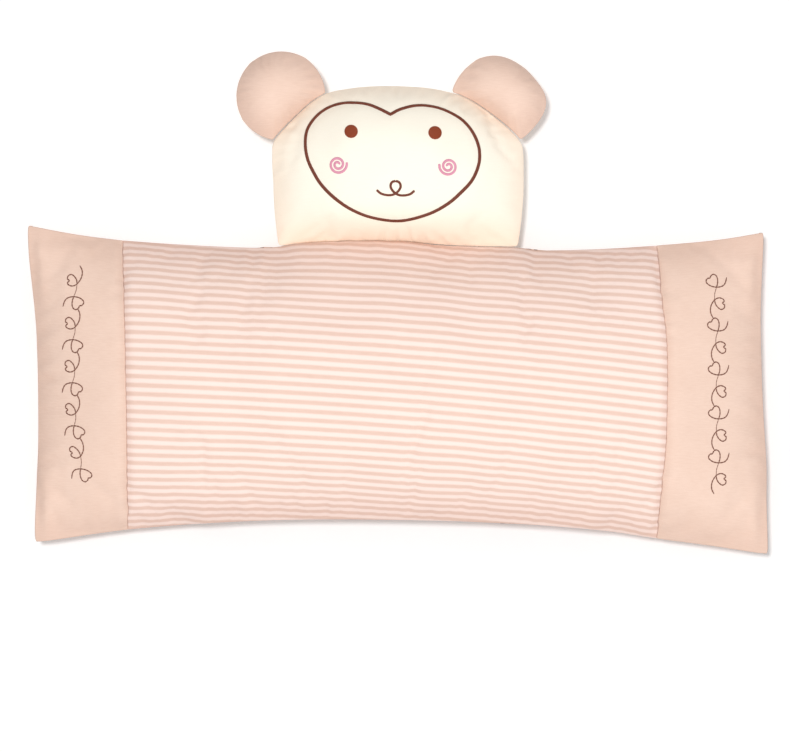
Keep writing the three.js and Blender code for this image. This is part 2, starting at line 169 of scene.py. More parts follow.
def smooth_line(points: list, step: float, closed: bool = False) -> Array:
    """Draws one smooth curve through points and spaces new points evenly along it.

    Args:
        points: the points it passes through.
        step: the spacing wanted.
        closed: whether the end joins the start.

    Returns:
        The new points, without a repeated last one when closed.
    """
    given = np.asarray(points, float)
    if closed:
        knots = np.vstack([given[-1], given, given[:2]])
    else:
        knots = np.vstack([2 * given[0] - given[1], given, 2 * given[-1] - given[-2]])
    share = np.linspace(0, 1, 24, endpoint=False)[:, None]
    runs = []
    for a, b, c, d in zip(knots, knots[1:], knots[2:], knots[3:]):
        runs.append(0.5 * (2 * b + (c - a) * share + (2 * a - 5 * b + 4 * c - d) * share**2
                           + (3 * b - a - 3 * c + d) * share**3))
    dense = np.vstack(runs + [knots[-2][None]])
    return even_line(dense, step, closed)


def even_line(dense: Array, step: float, closed: bool = False) -> Array:
    """Spaces points evenly along a finely drawn line.

    Args:
        dense: the line's own points.
        step: the spacing wanted.
        closed: whether the last point repeats the first and is left out.

    Returns:
        The evenly spaced points.
    """
    run = np.concatenate([[0], np.cumsum(np.linalg.norm(np.diff(dense, axis=0), axis=1))])
    count = max(2, int(round(run[-1] / step)))
    at = np.linspace(0, run[-1], count + 1)
    if closed:
        at = at[:-1]
    return np.stack([np.interp(at, run, dense[:, k]) for k in range(dense.shape[1])], axis=-1)


def bezier(*controls: tuple[float, float], count: int = 24) -> Array:
    """Points on a Bezier curve of any degree, without its last point."""
    share = np.linspace(0, 1, count, endpoint=False)[:, None]
    level = [np.asarray(c, float) + 0 * share for c in controls]
    while len(level) > 1:
        level = [a * (1 - share) + b * share for a, b in zip(level, level[1:])]
    return level[0]


@dataclass(frozen=True)
class Waves:
    """Seeded undulation: sine waves of many lengths that run in many directions."""

    seed: int
    shortest: float
    longest: float
    count: int = 18
    one_way: bool = False

    def at(self, x: Array, y: Array) -> Array:
        """The height at each point, about 1 high.

        Args:
            x: the points' first coordinates in millimetres.
            y: their second coordinates.

        Returns:
            An array like x.
        """
        rng = np.random.default_rng(self.seed)
        length = rng.uniform(self.shortest, self.longest, self.count)
        turn = rng.uniform(0, FULL_TURN, self.count) * (0 if self.one_way else 1)
        phase = rng.uniform(0, FULL_TURN, self.count)
        total = np.zeros(np.broadcast(x, y).shape)
        for wave, way, start in zip(length, turn, phase):
            total = total + np.sin(FULL_TURN * (x * math.cos(way) + y * math.sin(way)) / wave + start)
        return total / math.sqrt(self.count / 2)


def rounded(p: Array, q: Array) -> tuple[Array, Array]:
    """A square grid's places carried on to a round of radius 1."""
    return p * np.sqrt(1 - q * q / 2), q * np.sqrt(1 - p * p / 2)


def bell(distance: Array, width: float) -> Array:
    """1 at no distance, falling smoothly to nothing past the width."""
    return np.exp(-((distance / width) ** 2))


def spline_weights(count: int, at: Array) -> Array:
    """The weights that read a smooth value from evenly spaced ones.

    Args:
        count: how many values there are between -1 and 1.
        at: where they are read.

    Returns:
        An array of one row per place and one column per value.
    """
    place = (np.clip(at, -1, 1) + 1) / 2 * (count - 1)
    first = np.clip(place.astype(int), 0, count - 2)
    t = place - first
    parts = (-t + 2 * t**2 - t**3, 2 - 5 * t**2 + 3 * t**3, t + 4 * t**2 - 3 * t**3, t**3 - t**2)
    weights = np.zeros((len(at), count))
    rows = np.arange(len(at))
    for shift, part in enumerate(parts):
        np.add.at(weights, (rows, np.clip(first + shift - 1, 0, count - 1)), part / 2)
    return weights


# --- Meshes ---


@dataclass
class Net:
    """A grid of points with its cloth coordinates, both in millimetres, and how near a seam each is."""

    points: Array
    cloth: Array
    near: Array | None = None

    def normals(self) -> Array:
        """Unit vectors square to the net, on its upper side."""
        across = np.gradient(self.points, axis=1)
        along = np.gradient(self.points, axis=0)
        square = np.cross(across, along)
        return square / np.maximum(np.linalg.norm(square, axis=-1, keepdims=True), 1e-9)


def cells(index: Array) -> Array:
    """The four-sided faces of a grid of vertex numbers, anticlockwise seen from above."""
    corners = (index[:-1, :-1], index[:-1, 1:], index[1:, 1:], index[1:, :-1])
    return np.stack(corners, -1).reshape(-1, 4)


def border(index: Array) -> Array:
    """The vertex numbers round a grid's edge, anticlockwise, with the first one repeated."""
    return np.concatenate([index[0], index[1:, -1], index[-1, -2::-1], index[-2::-1, 0]])


def placed(name: str, data: object) -> Piece:
    """A new object in the scene."""
    made = bpy.data.objects.new(name, data)
    bpy.context.scene.collection.objects.link(made)
    return made


def new_mesh(name: str, points: Array, faces: Array, cloth: Array) -> Piece:
    """Makes one object from points, faces and cloth coordinates.

    Args:
        name: the piece's name.
        points: its vertices in local millimetres.
        faces: vertex numbers, each row one face.
        cloth: a pair of cloth coordinates for each vertex, in millimetres.

    Returns:
        The new object, smooth shaded and in the scene.
    """
    mesh = bpy.data.meshes.new(name)
    mesh.from_pydata(LAYOUT.to_row(points.reshape(-1, 3)).tolist(), [], [list(f) for f in faces])
    corners = np.empty(len(mesh.loops), np.int32)
    mesh.loops.foreach_get("vertex_index", corners)
    layer = mesh.uv_layers.new(name="cloth")
    layer.data.foreach_set("uv", cloth.reshape(-1, 2)[corners].astype(np.float32).ravel())
    mesh.shade_smooth()
    return placed(name, mesh)


def note_seams(piece: Piece, near: Array | None) -> Piece:
    """Writes how near a seam each vertex is, from 0 to 1, as the weight of the painted shade that the finish
    lays there.
    """
    if near is not None:
        layer = piece.data.attributes.new(PAINTED_SHADE_WEIGHT, "FLOAT", "POINT")
        layer.data.foreach_set("value", np.asarray(near, np.float32).ravel())
    return piece


def rim_thickness(net: Net, thickness: float = CLOTH) -> Array:
    """The cloth's thickness at each point, thin at the rim so that two halves lie flat on each other."""
    from_seam = np.abs(net.points[..., 2:] - LAYOUT.seam_z)
    return np.clip(from_seam * 0.7, THINNEST, thickness)


def cloth_shell(name: str, net: Net, side: Side, thickness: float | Array = CLOTH) -> Piece:
    """Makes a closed panel of cloth whose outside is the net.

    Args:
        name: the piece's name.
        net: the outside, its columns running right and its rows running up.
        side: which way the outside faces.
        thickness: the cloth's thickness, everywhere or at each point.

    Returns:
        The panel.
    """
    inside = net.points - net.normals() * thickness * side.value
    rows, columns = net.points.shape[:2]
    outer = np.arange(rows * columns).reshape(rows, columns)
    inner = outer + rows * columns
    faces = [cells(outer), cells(inner)[:, ::-1]]
    edge_out, edge_in = border(outer), border(inner)
    faces.append(np.stack([edge_out[1:], edge_out[:-1], edge_in[:-1], edge_in[1:]], -1))
    joined = np.concatenate(faces)
    if side is Side.BACK:
        joined = joined[:, ::-1]
    points = np.concatenate([net.points.reshape(-1, 3), inside.reshape(-1, 3)])
    panel = new_mesh(name, points, joined, np.concatenate([net.cloth.reshape(-1, 2)] * 2))
    return note_seams(panel, None if net.near is None else np.concatenate([net.near.ravel()] * 2))


def closed_pad(name: str, top: Net, bottom: Net) -> Piece:
    """Makes one closed body from an upper and a lower net that have the same rim.

    Args:
        name: the piece's name.
        top: the upper net.
        bottom: the lower net, with the same number of points.

    Returns:
        The body.
    """
    rows, columns = top.points.shape[:2]
    upper = np.arange(rows * columns).reshape(rows, columns)
    lower = upper + rows * columns
    edge_up, edge_down = border(upper), border(lower)
    belt = np.stack([edge_up[1:], edge_up[:-1], edge_down[:-1], edge_down[1:]], -1)
    faces = np.concatenate([cells(upper), cells(lower)[:, ::-1], belt])
    points = np.concatenate([top.points.reshape(-1, 3), bottom.points.reshape(-1, 3)])
    cloth = np.concatenate([top.cloth.reshape(-1, 2), bottom.cloth.reshape(-1, 2)])
    return new_mesh(name, points, faces, cloth)


def swept(path: Array, side: Array, up: Array, half: Array, rise: Array,
          sink: float, ring: int, closed: bool) -> tuple[Array, Array, Array]:
    """Sweeps a round or flattened section along a path.

    Args:
        path: the section's centres.
        side: a unit vector across the path at each one.
        up: a unit vector out of the cloth at each one.
        half: the section's half width at each one.
        rise: how far it stands above the path.
        sink: how far it reaches below the path.
        ring: how many points the section has.
        closed: whether the path's end joins its start.

    Returns:
        The points, the faces and the cloth coordinates.
    """
    turn = np.linspace(0, FULL_TURN, ring, endpoint=False)
    lift = np.sin(turn)[None, :] * np.where(np.sin(turn)[None, :] > 0, rise[:, None], sink)
    reach = np.cos(turn)[None, :] * half[:, None]
    points = path[:, None] + side[:, None] * reach[..., None] + up[:, None] * lift[..., None]
    count = len(path)
    index = np.arange(count * ring).reshape(count, ring)
    index = np.concatenate([index, index[:, :1]], axis=1)
    if closed:
        index = np.concatenate([index, index[:1]], axis=0)
    faces = cells(index)
    run = np.concatenate([[0], np.cumsum(np.linalg.norm(np.diff(path, axis=0), axis=1))])
    cloth = np.stack(np.broadcast_arrays(run[:, None], turn[None, :] / FULL_TURN * 4), -1)
    points, cloth = points.reshape(-1, 3), cloth.reshape(-1, 2)
    if not closed:
        ends = np.stack([path[0], path[-1]])
        tips = count * ring + np.arange(2)
        start = np.stack([index[0, :-1], index[0, 1:], np.full(ring, tips[0]), np.full(ring, tips[0])], -1)
        stop = np.stack([index[-1, 1:], index[-1, :-1], np.full(ring, tips[1]), np.full(ring, tips[1])], -1)
        points = np.concatenate([points, ends])
        cloth = np.concatenate([cloth, [[0, 0], [run[-1], 0]]])
        return points, [*faces.tolist(), *start[:, :3].tolist(), *stop[:, :3].tolist()], cloth
    return points, faces.tolist(), cloth


def merged(name: str, parts: list) -> Piece:
    """One object from several lots of points, faces and cloth coordinates."""
    points, faces, cloth, first = [], [], [], 0
    for part_points, part_faces, part_cloth in parts:
        points.append(part_points)
        cloth.append(part_cloth)
        faces.extend([[first + k for k in face] for face in part_faces])
        first += len(part_points)
    return new_mesh(name, np.concatenate(points), faces, np.concatenate(cloth))


# --- Stuffed forms ---


@dataclass(frozen=True)
class Inflation:
    """How a sewn pair of panels is filled: the settings of its cloth simulation."""

    pressure: float = 12.0
    looseness: float = 0.007
    bending: float = 0.25
    frames: int = 24
    limit: float = 3.0

    def settle(self, front: Array, back: Array) -> Array:
        """Fills the pair with its rim held still.

        Args:
            front: the upper grid before filling, in millimetres.
            back: the lower grid, whose rim is the same.

        Returns:
            How far each point of the upper grid moves, in millimetres.
        """
        rows, columns = front.shape[:2]
        upper = np.arange(rows * columns).reshape(rows, columns)
        inner = np.zeros((rows, columns), bool)
        inner[1:-1, 1:-1] = True
        lower = upper.copy()
        lower[inner] = rows * columns + np.arange(inner.sum())
        points = np.concatenate([front.reshape(-1, 3), back[inner]]) * MM
        mesh = bpy.data.meshes.new("filling_trial")
        mesh.from_pydata(points.tolist(), [], np.concatenate([cells(upper), cells(lower)[:, ::-1]]).tolist())
        trial = placed("filling_trial", mesh)
        scene = bpy.context.scene
        trial.vertex_groups.new(name="rim").add(upper[~inner].tolist(), 1.0, "REPLACE")
        self._set_up(trial)
        for number in range(1, self.frames + 1):
            scene.frame_set(number)
        settled = trial.evaluated_get(bpy.context.evaluated_depsgraph_get()).to_mesh()
        found = np.empty(len(points) * 3, np.float32)
        settled.vertices.foreach_get("co", found)
        scene.frame_set(1)
        bpy.data.objects.remove(trial)
        move = found.reshape(-1, 3)[: rows * columns].reshape(rows, columns, 3) / MM - front
        length = np.linalg.norm(move, axis=-1, keepdims=True)
        return move * np.tanh(length / self.limit) * self.limit / np.maximum(length, 1e-6)

    def _set_up(self, trial: Piece) -> None:
        """Gives the trial object its cloth modifier."""
        modifier = trial.modifiers.new("filling", "CLOTH")
        cloth = modifier.settings
        cloth.quality = 5
        cloth.mass = 0.005
        cloth.tension_stiffness = cloth.compression_stiffness = 25
        cloth.shear_stiffness = 5
        cloth.bending_stiffness = self.bending
        cloth.tension_damping = cloth.compression_damping = cloth.shear_damping = 0.5
        cloth.bending_damping = 0.05
        cloth.air_damping = 0.2
        cloth.use_pressure = True
        cloth.uniform_pressure_force = self.pressure
        cloth.effector_weights.gravity = 0
        cloth.vertex_group_mass = "rim"
        cloth.pin_stiffness = 1
        cloth.shrink_min = -self.looseness
        modifier.collision_settings.use_collision = False
        modifier.point_cache.frame_start = 1
        modifier.point_cache.frame_end = self.frames


@dataclass(frozen=True)
class Run:
    """Where a net has its lines between two edges: close at each edge, evenly spaced inside.

    The fold lists, for each line at an edge, its distance in along the cloth and how deep the
    cloth has turned in there.
    """

    start: float
    stop: float
    scale: float
    step: float
    start_edge: Edge = Edge.RIM
    stop_edge: Edge = Edge.RIM
    fold: tuple = ((0.0, 2.6), (0.01, 1.2), (0.05, 0.5), (0.3, 0.14), (0.8, 0.0), (1.5, 0.0), (2.4, 0.0))

    def lines(self) -> tuple[Array, Array, Array]:
        """Works out the lines.

        Returns:
            Their places, and how deep each has turned in at the start edge and at the stop edge.
        """
        inset = np.array([row[0] for row in self.fold]) / self.scale
        depth = np.array([row[1] for row in self.fold])
        first, last = self.start + inset[-1], self.stop - inset[-1]
        count = max(2, int(round((last - first) * self.scale / self.step)))
        middle = np.linspace(first, last, count + 1)[1:-1]
        places = np.concatenate([self.start + inset, middle, self.stop - inset[::-1]])
        still = np.zeros(len(middle) + len(depth))
        return places, np.concatenate([depth, still]), np.concatenate([still, depth[::-1]])


class Cushion:
    """A stuffed form over a plan with two directions, p and q, that each run from -1 to 1."""

    rise: float
    drop: float
    floor: float = 0.35

    def __init__(self) -> None:
        """Starts with no filling simulated."""
        self.move: Array | None = None

    def plan(self, p: Array, q: Array, side: Side) -> tuple[Array, Array]:
        """Where a point of the form lies, seen from above."""
        raise NotImplementedError

    def crown(self, p: Array, q: Array) -> Array:
        """How full the form is: 0 at its rim and 1 at its middle."""
        raise NotImplementedError

    def relief(self, p: Array, q: Array, x: Array, y: Array, side: Side) -> Array:
        """Puckers and hollows, in millimetres outwards."""
        raise NotImplementedError

    def outward(self, p: Array, q: Array) -> tuple[Array, Array]:
        """The level direction out through the rim, for a line across p and for one across q."""
        raise NotImplementedError

    def opening(self, p: Array, q: Array, x: Array) -> Array:
        """How far an opening in the seam parts the two halves, in millimetres for each half."""
        return 0 * x

    def nearness(self, p: Array, q: Array) -> Array:
        """How near a seam each place is, from 0 to 1: the weight of the painted shade there."""
        raise NotImplementedError

    def form(self, p: Array, q: Array, side: Side) -> Array:
        """The plain stuffed shape, before filling and puckers.

        Args:
            p: places along the first direction.
            q: places along the second direction.
            side: the upper or the lower half.

        Returns:
            Points in local millimetres.
        """
        x, y = self.plan(p, q, side)
        full = self.crown(p, q)
        parted = self.opening(p, q, x)
        if side is Side.FRONT:
            z = LAYOUT.seam_z + self.rise * full + parted
        else:
            z = np.maximum(LAYOUT.seam_z - self.drop * full - parted, self.floor)
        return np.stack([x, y, z], -1)

    def inflate(self, columns: int, rows: int, inflation: Inflation) -> None:
        """Simulates the filling and keeps how far the front moves.

        Args:
            columns: the trial grid's points along p.
            rows: its points along q.
            inflation: the simulation's settings.
        """
        p, q = np.meshgrid(np.linspace(-1, 1, columns), np.linspace(-1, 1, rows))
        front = self.form(p, q, Side.FRONT)
        back = self.form(p, q, Side.BACK)
        back[0], back[-1], back[:, 0], back[:, -1] = front[0], front[-1], front[:, 0], front[:, -1]
        self.move = inflation.settle(front, back)

    def surface(self, side: Side, p_line: Array, q_line: Array) -> Array:
        """The finished outside.

        Args:
            side: the upper or the lower half.
            p_line: the columns' places.
            q_line: the rows' places.

        Returns:
            A grid of points in local millimetres.
        """
        p, q = np.meshgrid(p_line, q_line)
        points = self.form(p, q, side)
        if side is Side.FRONT and self.move is not None:
            across = spline_weights(self.move.shape[1], p_line)
            along = spline_weights(self.move.shape[0], q_line)
            points = points + np.einsum("jb,bac,ia->jic", along, self.move, across)
        above_seam = np.abs(points[..., 2] - LAYOUT.seam_z)
        relief = self.relief(p, q, points[..., 0], points[..., 1], side) * np.tanh(above_seam / 2.5)
        points = points + side.value * Net(points, points[..., :2]).normals() * relief[..., None]
        if side is Side.FRONT:
            points[..., 2] = np.maximum(points[..., 2], LAYOUT.seam_z)
        else:
            points[..., 2] = np.clip(points[..., 2], self.floor, LAYOUT.seam_z - 0.05)
        return points

    def net(self, side: Side, across: Run, along: Run) -> Net:
        """The net of one panel, with its edges turned in.

        Args:
            side: the upper or the lower half.
            across: the panel's extent along p.
            along: its extent along q.

        Returns:
            The net.
        """
        p_line, p_start, p_stop = across.lines()
        q_line, q_start, q_stop = along.lines()
        points = self.surface(side, p_line, q_line)
        plain = self.form(*np.meshgrid(p_line, q_line), side)
        net = Net(points, self.cloth(plain, p_line, q_line), self.nearness(*np.meshgrid(p_line, q_line)))
        normal = net.normals() * side.value
        p, q = np.meshgrid(p_line, q_line)
        out_p, out_q = self.outward(p, q)
        folds = (
            (across.start_edge, p_start[None, :], -out_p),
            (across.stop_edge, p_stop[None, :], out_p),
            (along.start_edge, q_start[:, None], -out_q),
            (along.stop_edge, q_stop[:, None], out_q),
        )
        for edge, depth, level in folds:
            way = level if edge is Edge.RIM else normal
            net.points = net.points - way * depth[..., None]
        return net

    def cloth(self, points: Array, p_line: Array, q_line: Array) -> Array:
        """Cloth coordinates measured along the surface from the middle of the panel.

        Args:
            points: the grid.
            p_line: the columns' places.
            q_line: the rows' places.

        Returns:
            A pair for each point, in millimetres.
        """
        def measured(axis: int, origin: int) -> Array:
            """Lengths along one axis of the grid from a chosen line."""
            steps = np.linalg.norm(np.diff(points, axis=axis), axis=-1)
            run = np.insert(np.cumsum(steps, axis=axis), 0, 0, axis=axis)
            return run - np.take(run, [origin], axis=axis)

        right = measured(1, int(np.argmin(np.abs(p_line - np.clip(0, p_line[0], p_line[-1])))))
        up = measured(0, int(np.argmin(np.abs(q_line))))
        return np.stack([right, up], -1)


    def solid(self, name: str, columns: int, rows: int) -> Piece:
        """Makes one closed body in the form's shape.

        Args:
            name: the piece's name.
            columns: its points along p.
            rows: its points along q.

        Returns:
            The body.
        """
        p_line, q_line = np.linspace(-1, 1, columns), np.linspace(-1, 1, rows)
        halves = [self.surface(side, p_line, q_line) for side in Side]
        return closed_pad(name, *[Net(half, self.cloth(half, p_line, q_line)) for half in halves])


@dataclass
class PillowForm(Cushion):
    """The pillow: four corners stand out, the edges between them are drawn in."""

    head_edge: float = 94.7
    zip_edge: float = 89.7
    end_pull: float = 3.0
    rise: float = 44.0
    drop: float = 30.0
    seam_share: float = 0.735
    slot_half: float = 4.6
    slot_full: float = 131.0
    slot_end: float = 146.0
    roll: float = 0.3
    overhang: float = 0.95
    back_share: float = 0.993
    share: tuple = (1.0, 1.0)
    zip_corner: float = 110.0
    tip: float = 3.0
    blunt: float = 1.6
    # How far each corner strays from the square: left then right, lower edge then upper.
    strays: tuple = (((1.8, 4.0), (1.0, -4.2)), ((-1.8, 2.5), (-1.0, -2.3)))
    # How far each end strays outwards, by its place across the pillow.
    left_end: tuple = ((-107, 1.0), (-89, 1.3), (-62, 0.7), (-35, 0), (30, 0), (51, 0.6), (74, 2.0),
                       (90, 2.8), (107, 2.6))
    right_end: tuple = ((-107, 3.0), (-76, 3.6), (-50, 4.4), (-12, 3.0), (30, 1.7), (60, 1.3), (107, 2.0))
    # How far each panel seam strays outwards.
    left_seam: tuple = ((-107, 2.9), (0, 2.9), (107, 2.9))
    right_seam: tuple = ((-107, -8.7), (-60, -3.5), (-20, 0), (30, 0.5), (60, -2.2), (107, -6.8))
    # Where the panel swells over the head's seam: place along the edge and amount.
    swell: tuple = ((-150, 0), (-110, 0), (-95, 0.2), (-82, 1.2), (-66, 3.6), (-29, 5.0), (7, 4.9),
                    (36, 3.3), (79, 2.2), (95, 0.2), (110, 0), (150, 0))

    def __post_init__(self) -> None:
        """Starts with no filling simulated."""
        super().__init__()
        self.folds = Waves(seed=11, shortest=9, longest=26, one_way=True)
        self.fine_folds = Waves(seed=12, shortest=4.5, longest=10, one_way=True)
        self.lumps = Waves(seed=13, shortest=38, longest=90)

    def swollen(self, x: Array) -> Array:
        """How far the upper edge stands out at each x."""
        line = smooth_line(self.swell, 1.0)
        return np.interp(x, line[:, 0], np.maximum(line[:, 1], 0))

    def edge(self, u: Array, upper: Array) -> Array:
        """The half width at each place along the pillow, before corners stray."""
        out = np.abs(u)
        above = self.head_edge + (LAYOUT.half_width - self.head_edge) * out**3 + self.tip * out**14
        below = self.zip_edge + (self.zip_corner - self.zip_edge) * out**2.4
        return np.where(upper, above, below)

    def stray(self, u: Array, y: Array) -> Array:
        """How far the ends and the panel seams stray from straight lines, to the right."""
        total = 0 * y
        from_seam = bell((np.abs(u) - self.seam_share) * LAYOUT.half_length, 30)
        for hand, end, seam in ((-1, self.left_end, self.left_seam), (1, self.right_end, self.right_seam)):
            here = hand * (np.sign(u) == hand)
            for line, weight in ((end, np.abs(u) ** 10), (seam, from_seam)):
                drawn = smooth_line(line, 2.0)
                total = total + here * weight * np.interp(y, drawn[:, 0], drawn[:, 1])
        return total

    def plan(self, p: Array, q: Array, side: Side) -> tuple[Array, Array]:
        """Where a point lies, seen from above."""
        u, v = p * self.share[0], q * self.share[1]
        x = u * (LAYOUT.half_length - self.end_pull * (1 - v * v))
        y = v * self.edge(u, v > 0)
        (low_left, low_right), (high_left, high_right) = np.asarray(self.strays)
        for k, axis in enumerate((x, y)):
            low = low_left[k] * (1 - u) / 2 + low_right[k] * (1 + u) / 2
            high = high_left[k] * (1 - u) / 2 + high_right[k] * (1 + u) / 2
            axis += low * (1 - v) / 2 + high * (1 + v) / 2
        x += self.stray(u, y)
        at_corner = self.blunt * np.abs(u * v) ** 40
        x -= np.sign(u) * at_corner
        y -= np.sign(v) * at_corner
        swollen = self.swollen(x)
        y += swollen * np.clip(v, 0, 1) ** 7
        if side is Side.BACK:
            return x * self.back_share, y * self.back_share + self.peek(x, v)
        from_edge = np.maximum(1 - v, 0) * self.head_edge
        lean = bell(from_edge - 3.5, 3.2) * np.tanh(from_edge / 1.5)
        return x, y + self.overhang * swollen * lean

    def peek(self, x: Array, v: Array) -> Array:
        """How far the back's cloth shows past the front's, beside the head and along the zip."""
        zip_part = 1.1 * bell(x - 66, 42) * np.clip(-v, 0, 1) ** 20
        beside_head = 1.3 * (bell(x + 91, 7) + bell(x - 93, 11)) * np.clip(v, 0, 1) ** 20
        return beside_head - zip_part

    def crown(self, p: Array, q: Array) -> Array:
        """How full the pillow is."""
        return (1 - np.abs(p) ** 5) * (1 - np.abs(q) ** 2.9)

    def outward(self, p: Array, q: Array) -> tuple[Array, Array]:
        """Level directions out through the ends and through the long edges."""
        right, up = np.zeros(p.shape + (3,)), np.zeros(p.shape + (3,))
        right[..., 0] = 1
        up[..., 1] = 1
        return right, up

    def nearness(self, p: Array, q: Array) -> Array:
        """How near a seam each place is, from 0 to 1: the weight of the painted shade there."""
        from_end = (1 - np.abs(p)) * LAYOUT.half_length
        from_edge = (1 - np.abs(q)) * self.zip_edge
        from_seam = np.abs(np.abs(p) - self.seam_share) * LAYOUT.half_length
        return np.maximum(bell(np.minimum(1.6 * from_end, from_edge), 15), 0.9 * bell(from_seam, 3.4))

    def relief(self, p: Array, q: Array, x: Array, y: Array, side: Side) -> Array:
        """Gathers along every seam and soft lumps of filling.

        Args:
            p: places along the pillow.
            q: places across it.
            x: the points' x.
            y: the points' y.
            side: the upper or the lower half.

        Returns:
            Millimetres outwards at each point.
        """
        from_end = (1 - np.abs(p)) * LAYOUT.half_length
        from_edge = (1 - np.abs(q)) * self.zip_edge
        shift = 400 * (side is Side.BACK)
        edge_side = np.where(q > 0, 0, 900) + shift
        end_side = np.where(p > 0, 0, 700) + shift
        gathers = self.folds.at(x + edge_side, 0 * y) * bell(from_edge - 5, 9) * 0.2
        gathers += self.fine_folds.at(x + edge_side, 0 * y) * bell(from_edge - 2, 5) * 0.14
        gathers += self.folds.at(y + end_side, 0 * x) * bell(from_end - 6, 11) * 0.6
        gathers += self.fine_folds.at(y + end_side, 0 * x) * bell(from_end - 2, 5) * 0.28
        away = np.tanh(from_end / 6) * np.tanh(from_edge / 5)
        total = gathers * away + self.lumps.at(x, y + shift) * 0.5 * np.tanh(from_edge / 25)
        if side is Side.FRONT:
            from_seam = (np.abs(p) - self.seam_share) * LAYOUT.half_length
            total -= 1.3 * bell(from_seam, 3.0)
            total += self.fine_folds.at(y + end_side, 0 * x) * bell(np.abs(from_seam) - 3, 4) * 0.2
            total += self.folds.at(y + end_side, 0 * x) * bell(np.abs(from_seam) - 5, 8) * 0.2
            total += self.roll * self.swollen(x) * bell(from_edge - 5, 5) * (q > 0) * np.tanh(from_edge)
        return total

    def opening(self, p: Array, q: Array, x: Array) -> Array:
        """The slot that the zip lies in, along the lower edge."""
        from_edge = (1 - np.abs(q)) * self.zip_edge
        share = np.clip((self.slot_end - np.abs(x)) / (self.slot_end - self.slot_full), 0, 1)
        return self.slot_half * share**2 * (3 - 2 * share) * bell(from_edge, 11) * (q < 0)


@dataclass
class RoundForm(Cushion):
    """A stuffed form whose outline is a closed line round a centre."""

    outline: Array
    centre: Array
    rise: float
    drop: float
    seed: int
    share: float = 1.0
    fullness: float = 2.4
    pucker: float = 0.35
    lump: float = 0.45
    sunk_line: Array | None = None
    # How strongly shade is painted near the rim, and where a band of painted shade lies along the neck.
    rim_shade: float = 1.0
    neck_y: float = -1e6

    def __post_init__(self) -> None:
        """Works out the outline's reach in each direction."""
        super().__init__()
        ray = self.outline - self.centre
        turn = np.arctan2(ray[:, 1], ray[:, 0])
        order = np.argsort(turn)
        self.turns = turn[order]
        self.reaches = np.linalg.norm(ray, axis=1)[order]
        self.soft_turns = np.linspace(-math.pi, math.pi, 180, endpoint=False)
        even = np.interp(self.soft_turns, self.turns, self.reaches, period=FULL_TURN)
        spread = bell(np.arange(-45, 46) * 2.0, 34)
        self.soft_reaches = np.convolve(np.pad(even, 45, mode="wrap"), spread / spread.sum(), "valid")
        self.folds = Waves(seed=self.seed, shortest=6, longest=15, one_way=True)
        self.lumps = Waves(seed=self.seed + 1, shortest=26, longest=60)

    def polar(self, p: Array, q: Array) -> tuple[Array, Array]:
        """How far out a point is, from 0 to 1, and in which direction."""
        s, t = rounded(p, q)
        return np.minimum(np.hypot(s, t), 1), np.arctan2(t, s)

    def reach(self, turn: Array) -> Array:
        """The distance from the centre to the outline in each direction."""
        return np.interp(turn, self.turns, self.reaches, period=FULL_TURN)

    def plan(self, p: Array, q: Array, side: Side) -> tuple[Array, Array]:
        """Where a point lies, seen from above."""
        out, turn = self.polar(p, q)
        soft = np.interp(turn, self.soft_turns, self.soft_reaches, period=FULL_TURN)
        far = out * (soft + (self.reach(turn) - soft) * out**5) * self.share
        return self.centre[0] + far * np.cos(turn), self.centre[1] + far * np.sin(turn)

    def crown(self, p: Array, q: Array) -> Array:
        """How full the form is."""
        out, _ = self.polar(p, q)
        return 1 - out**self.fullness

    def outward(self, p: Array, q: Array) -> tuple[Array, Array]:
        """Level directions from the centre, signed so that each points out at its stop edge."""
        _, turn = self.polar(p, q)
        ray = np.stack([np.cos(turn), np.sin(turn), 0 * turn], -1)
        corner = np.maximum(np.abs(p), np.abs(q))
        mine_p = (np.abs(p) >= np.abs(q)) * np.sign(p) + (corner == 0)
        mine_q = (np.abs(q) > np.abs(p)) * np.sign(q)
        return ray * mine_p[..., None], ray * mine_q[..., None]

    def nearness(self, p: Array, q: Array) -> Array:
        """How near the rim and the neck each place is, from 0 to 1: the weight of the painted shade there."""
        out, turn = self.polar(p, q)
        _, y = self.plan(p, q, Side.FRONT)
        return np.maximum(self.rim_shade * bell((1 - out) * self.reach(turn), 13), bell(y - self.neck_y, 17))

    def relief(self, p: Array, q: Array, x: Array, y: Array, side: Side) -> Array:
        """Gathers round the rim, soft lumps, and the hollow that a stitched line pulls in.

        Args:
            p: places along the first direction.
            q: places along the second.
            x: the points' x.
            y: the points' y.
            side: the upper or the lower half.

        Returns:
            Millimetres outwards at each point.
        """
        out, turn = self.polar(p, q)
        reach = self.reach(turn)
        from_rim = (1 - out) * reach
        around = turn * reach.mean()
        total = self.folds.at(around, 0 * around) * bell(from_rim - 4, 6) * self.pucker
        total = total * np.tanh(from_rim / 4) + self.lumps.at(x, y) * self.lump * np.tanh(from_rim / 20)
        if side is Side.FRONT and self.sunk_line is not None:
            gap = np.full(x.shape, 1e9)
            for point in self.sunk_line:
                gap = np.minimum(gap, np.hypot(x - point[0], y - point[1]))
            total -= 0.5 * bell(gap, 3.2)
        return total

    def panel_run(self, step: float) -> Run:
        """The lines of a whole panel, the same both ways."""
        return Run(-1, 1, float(self.reaches.mean()), step)


# --- Shader groups ---


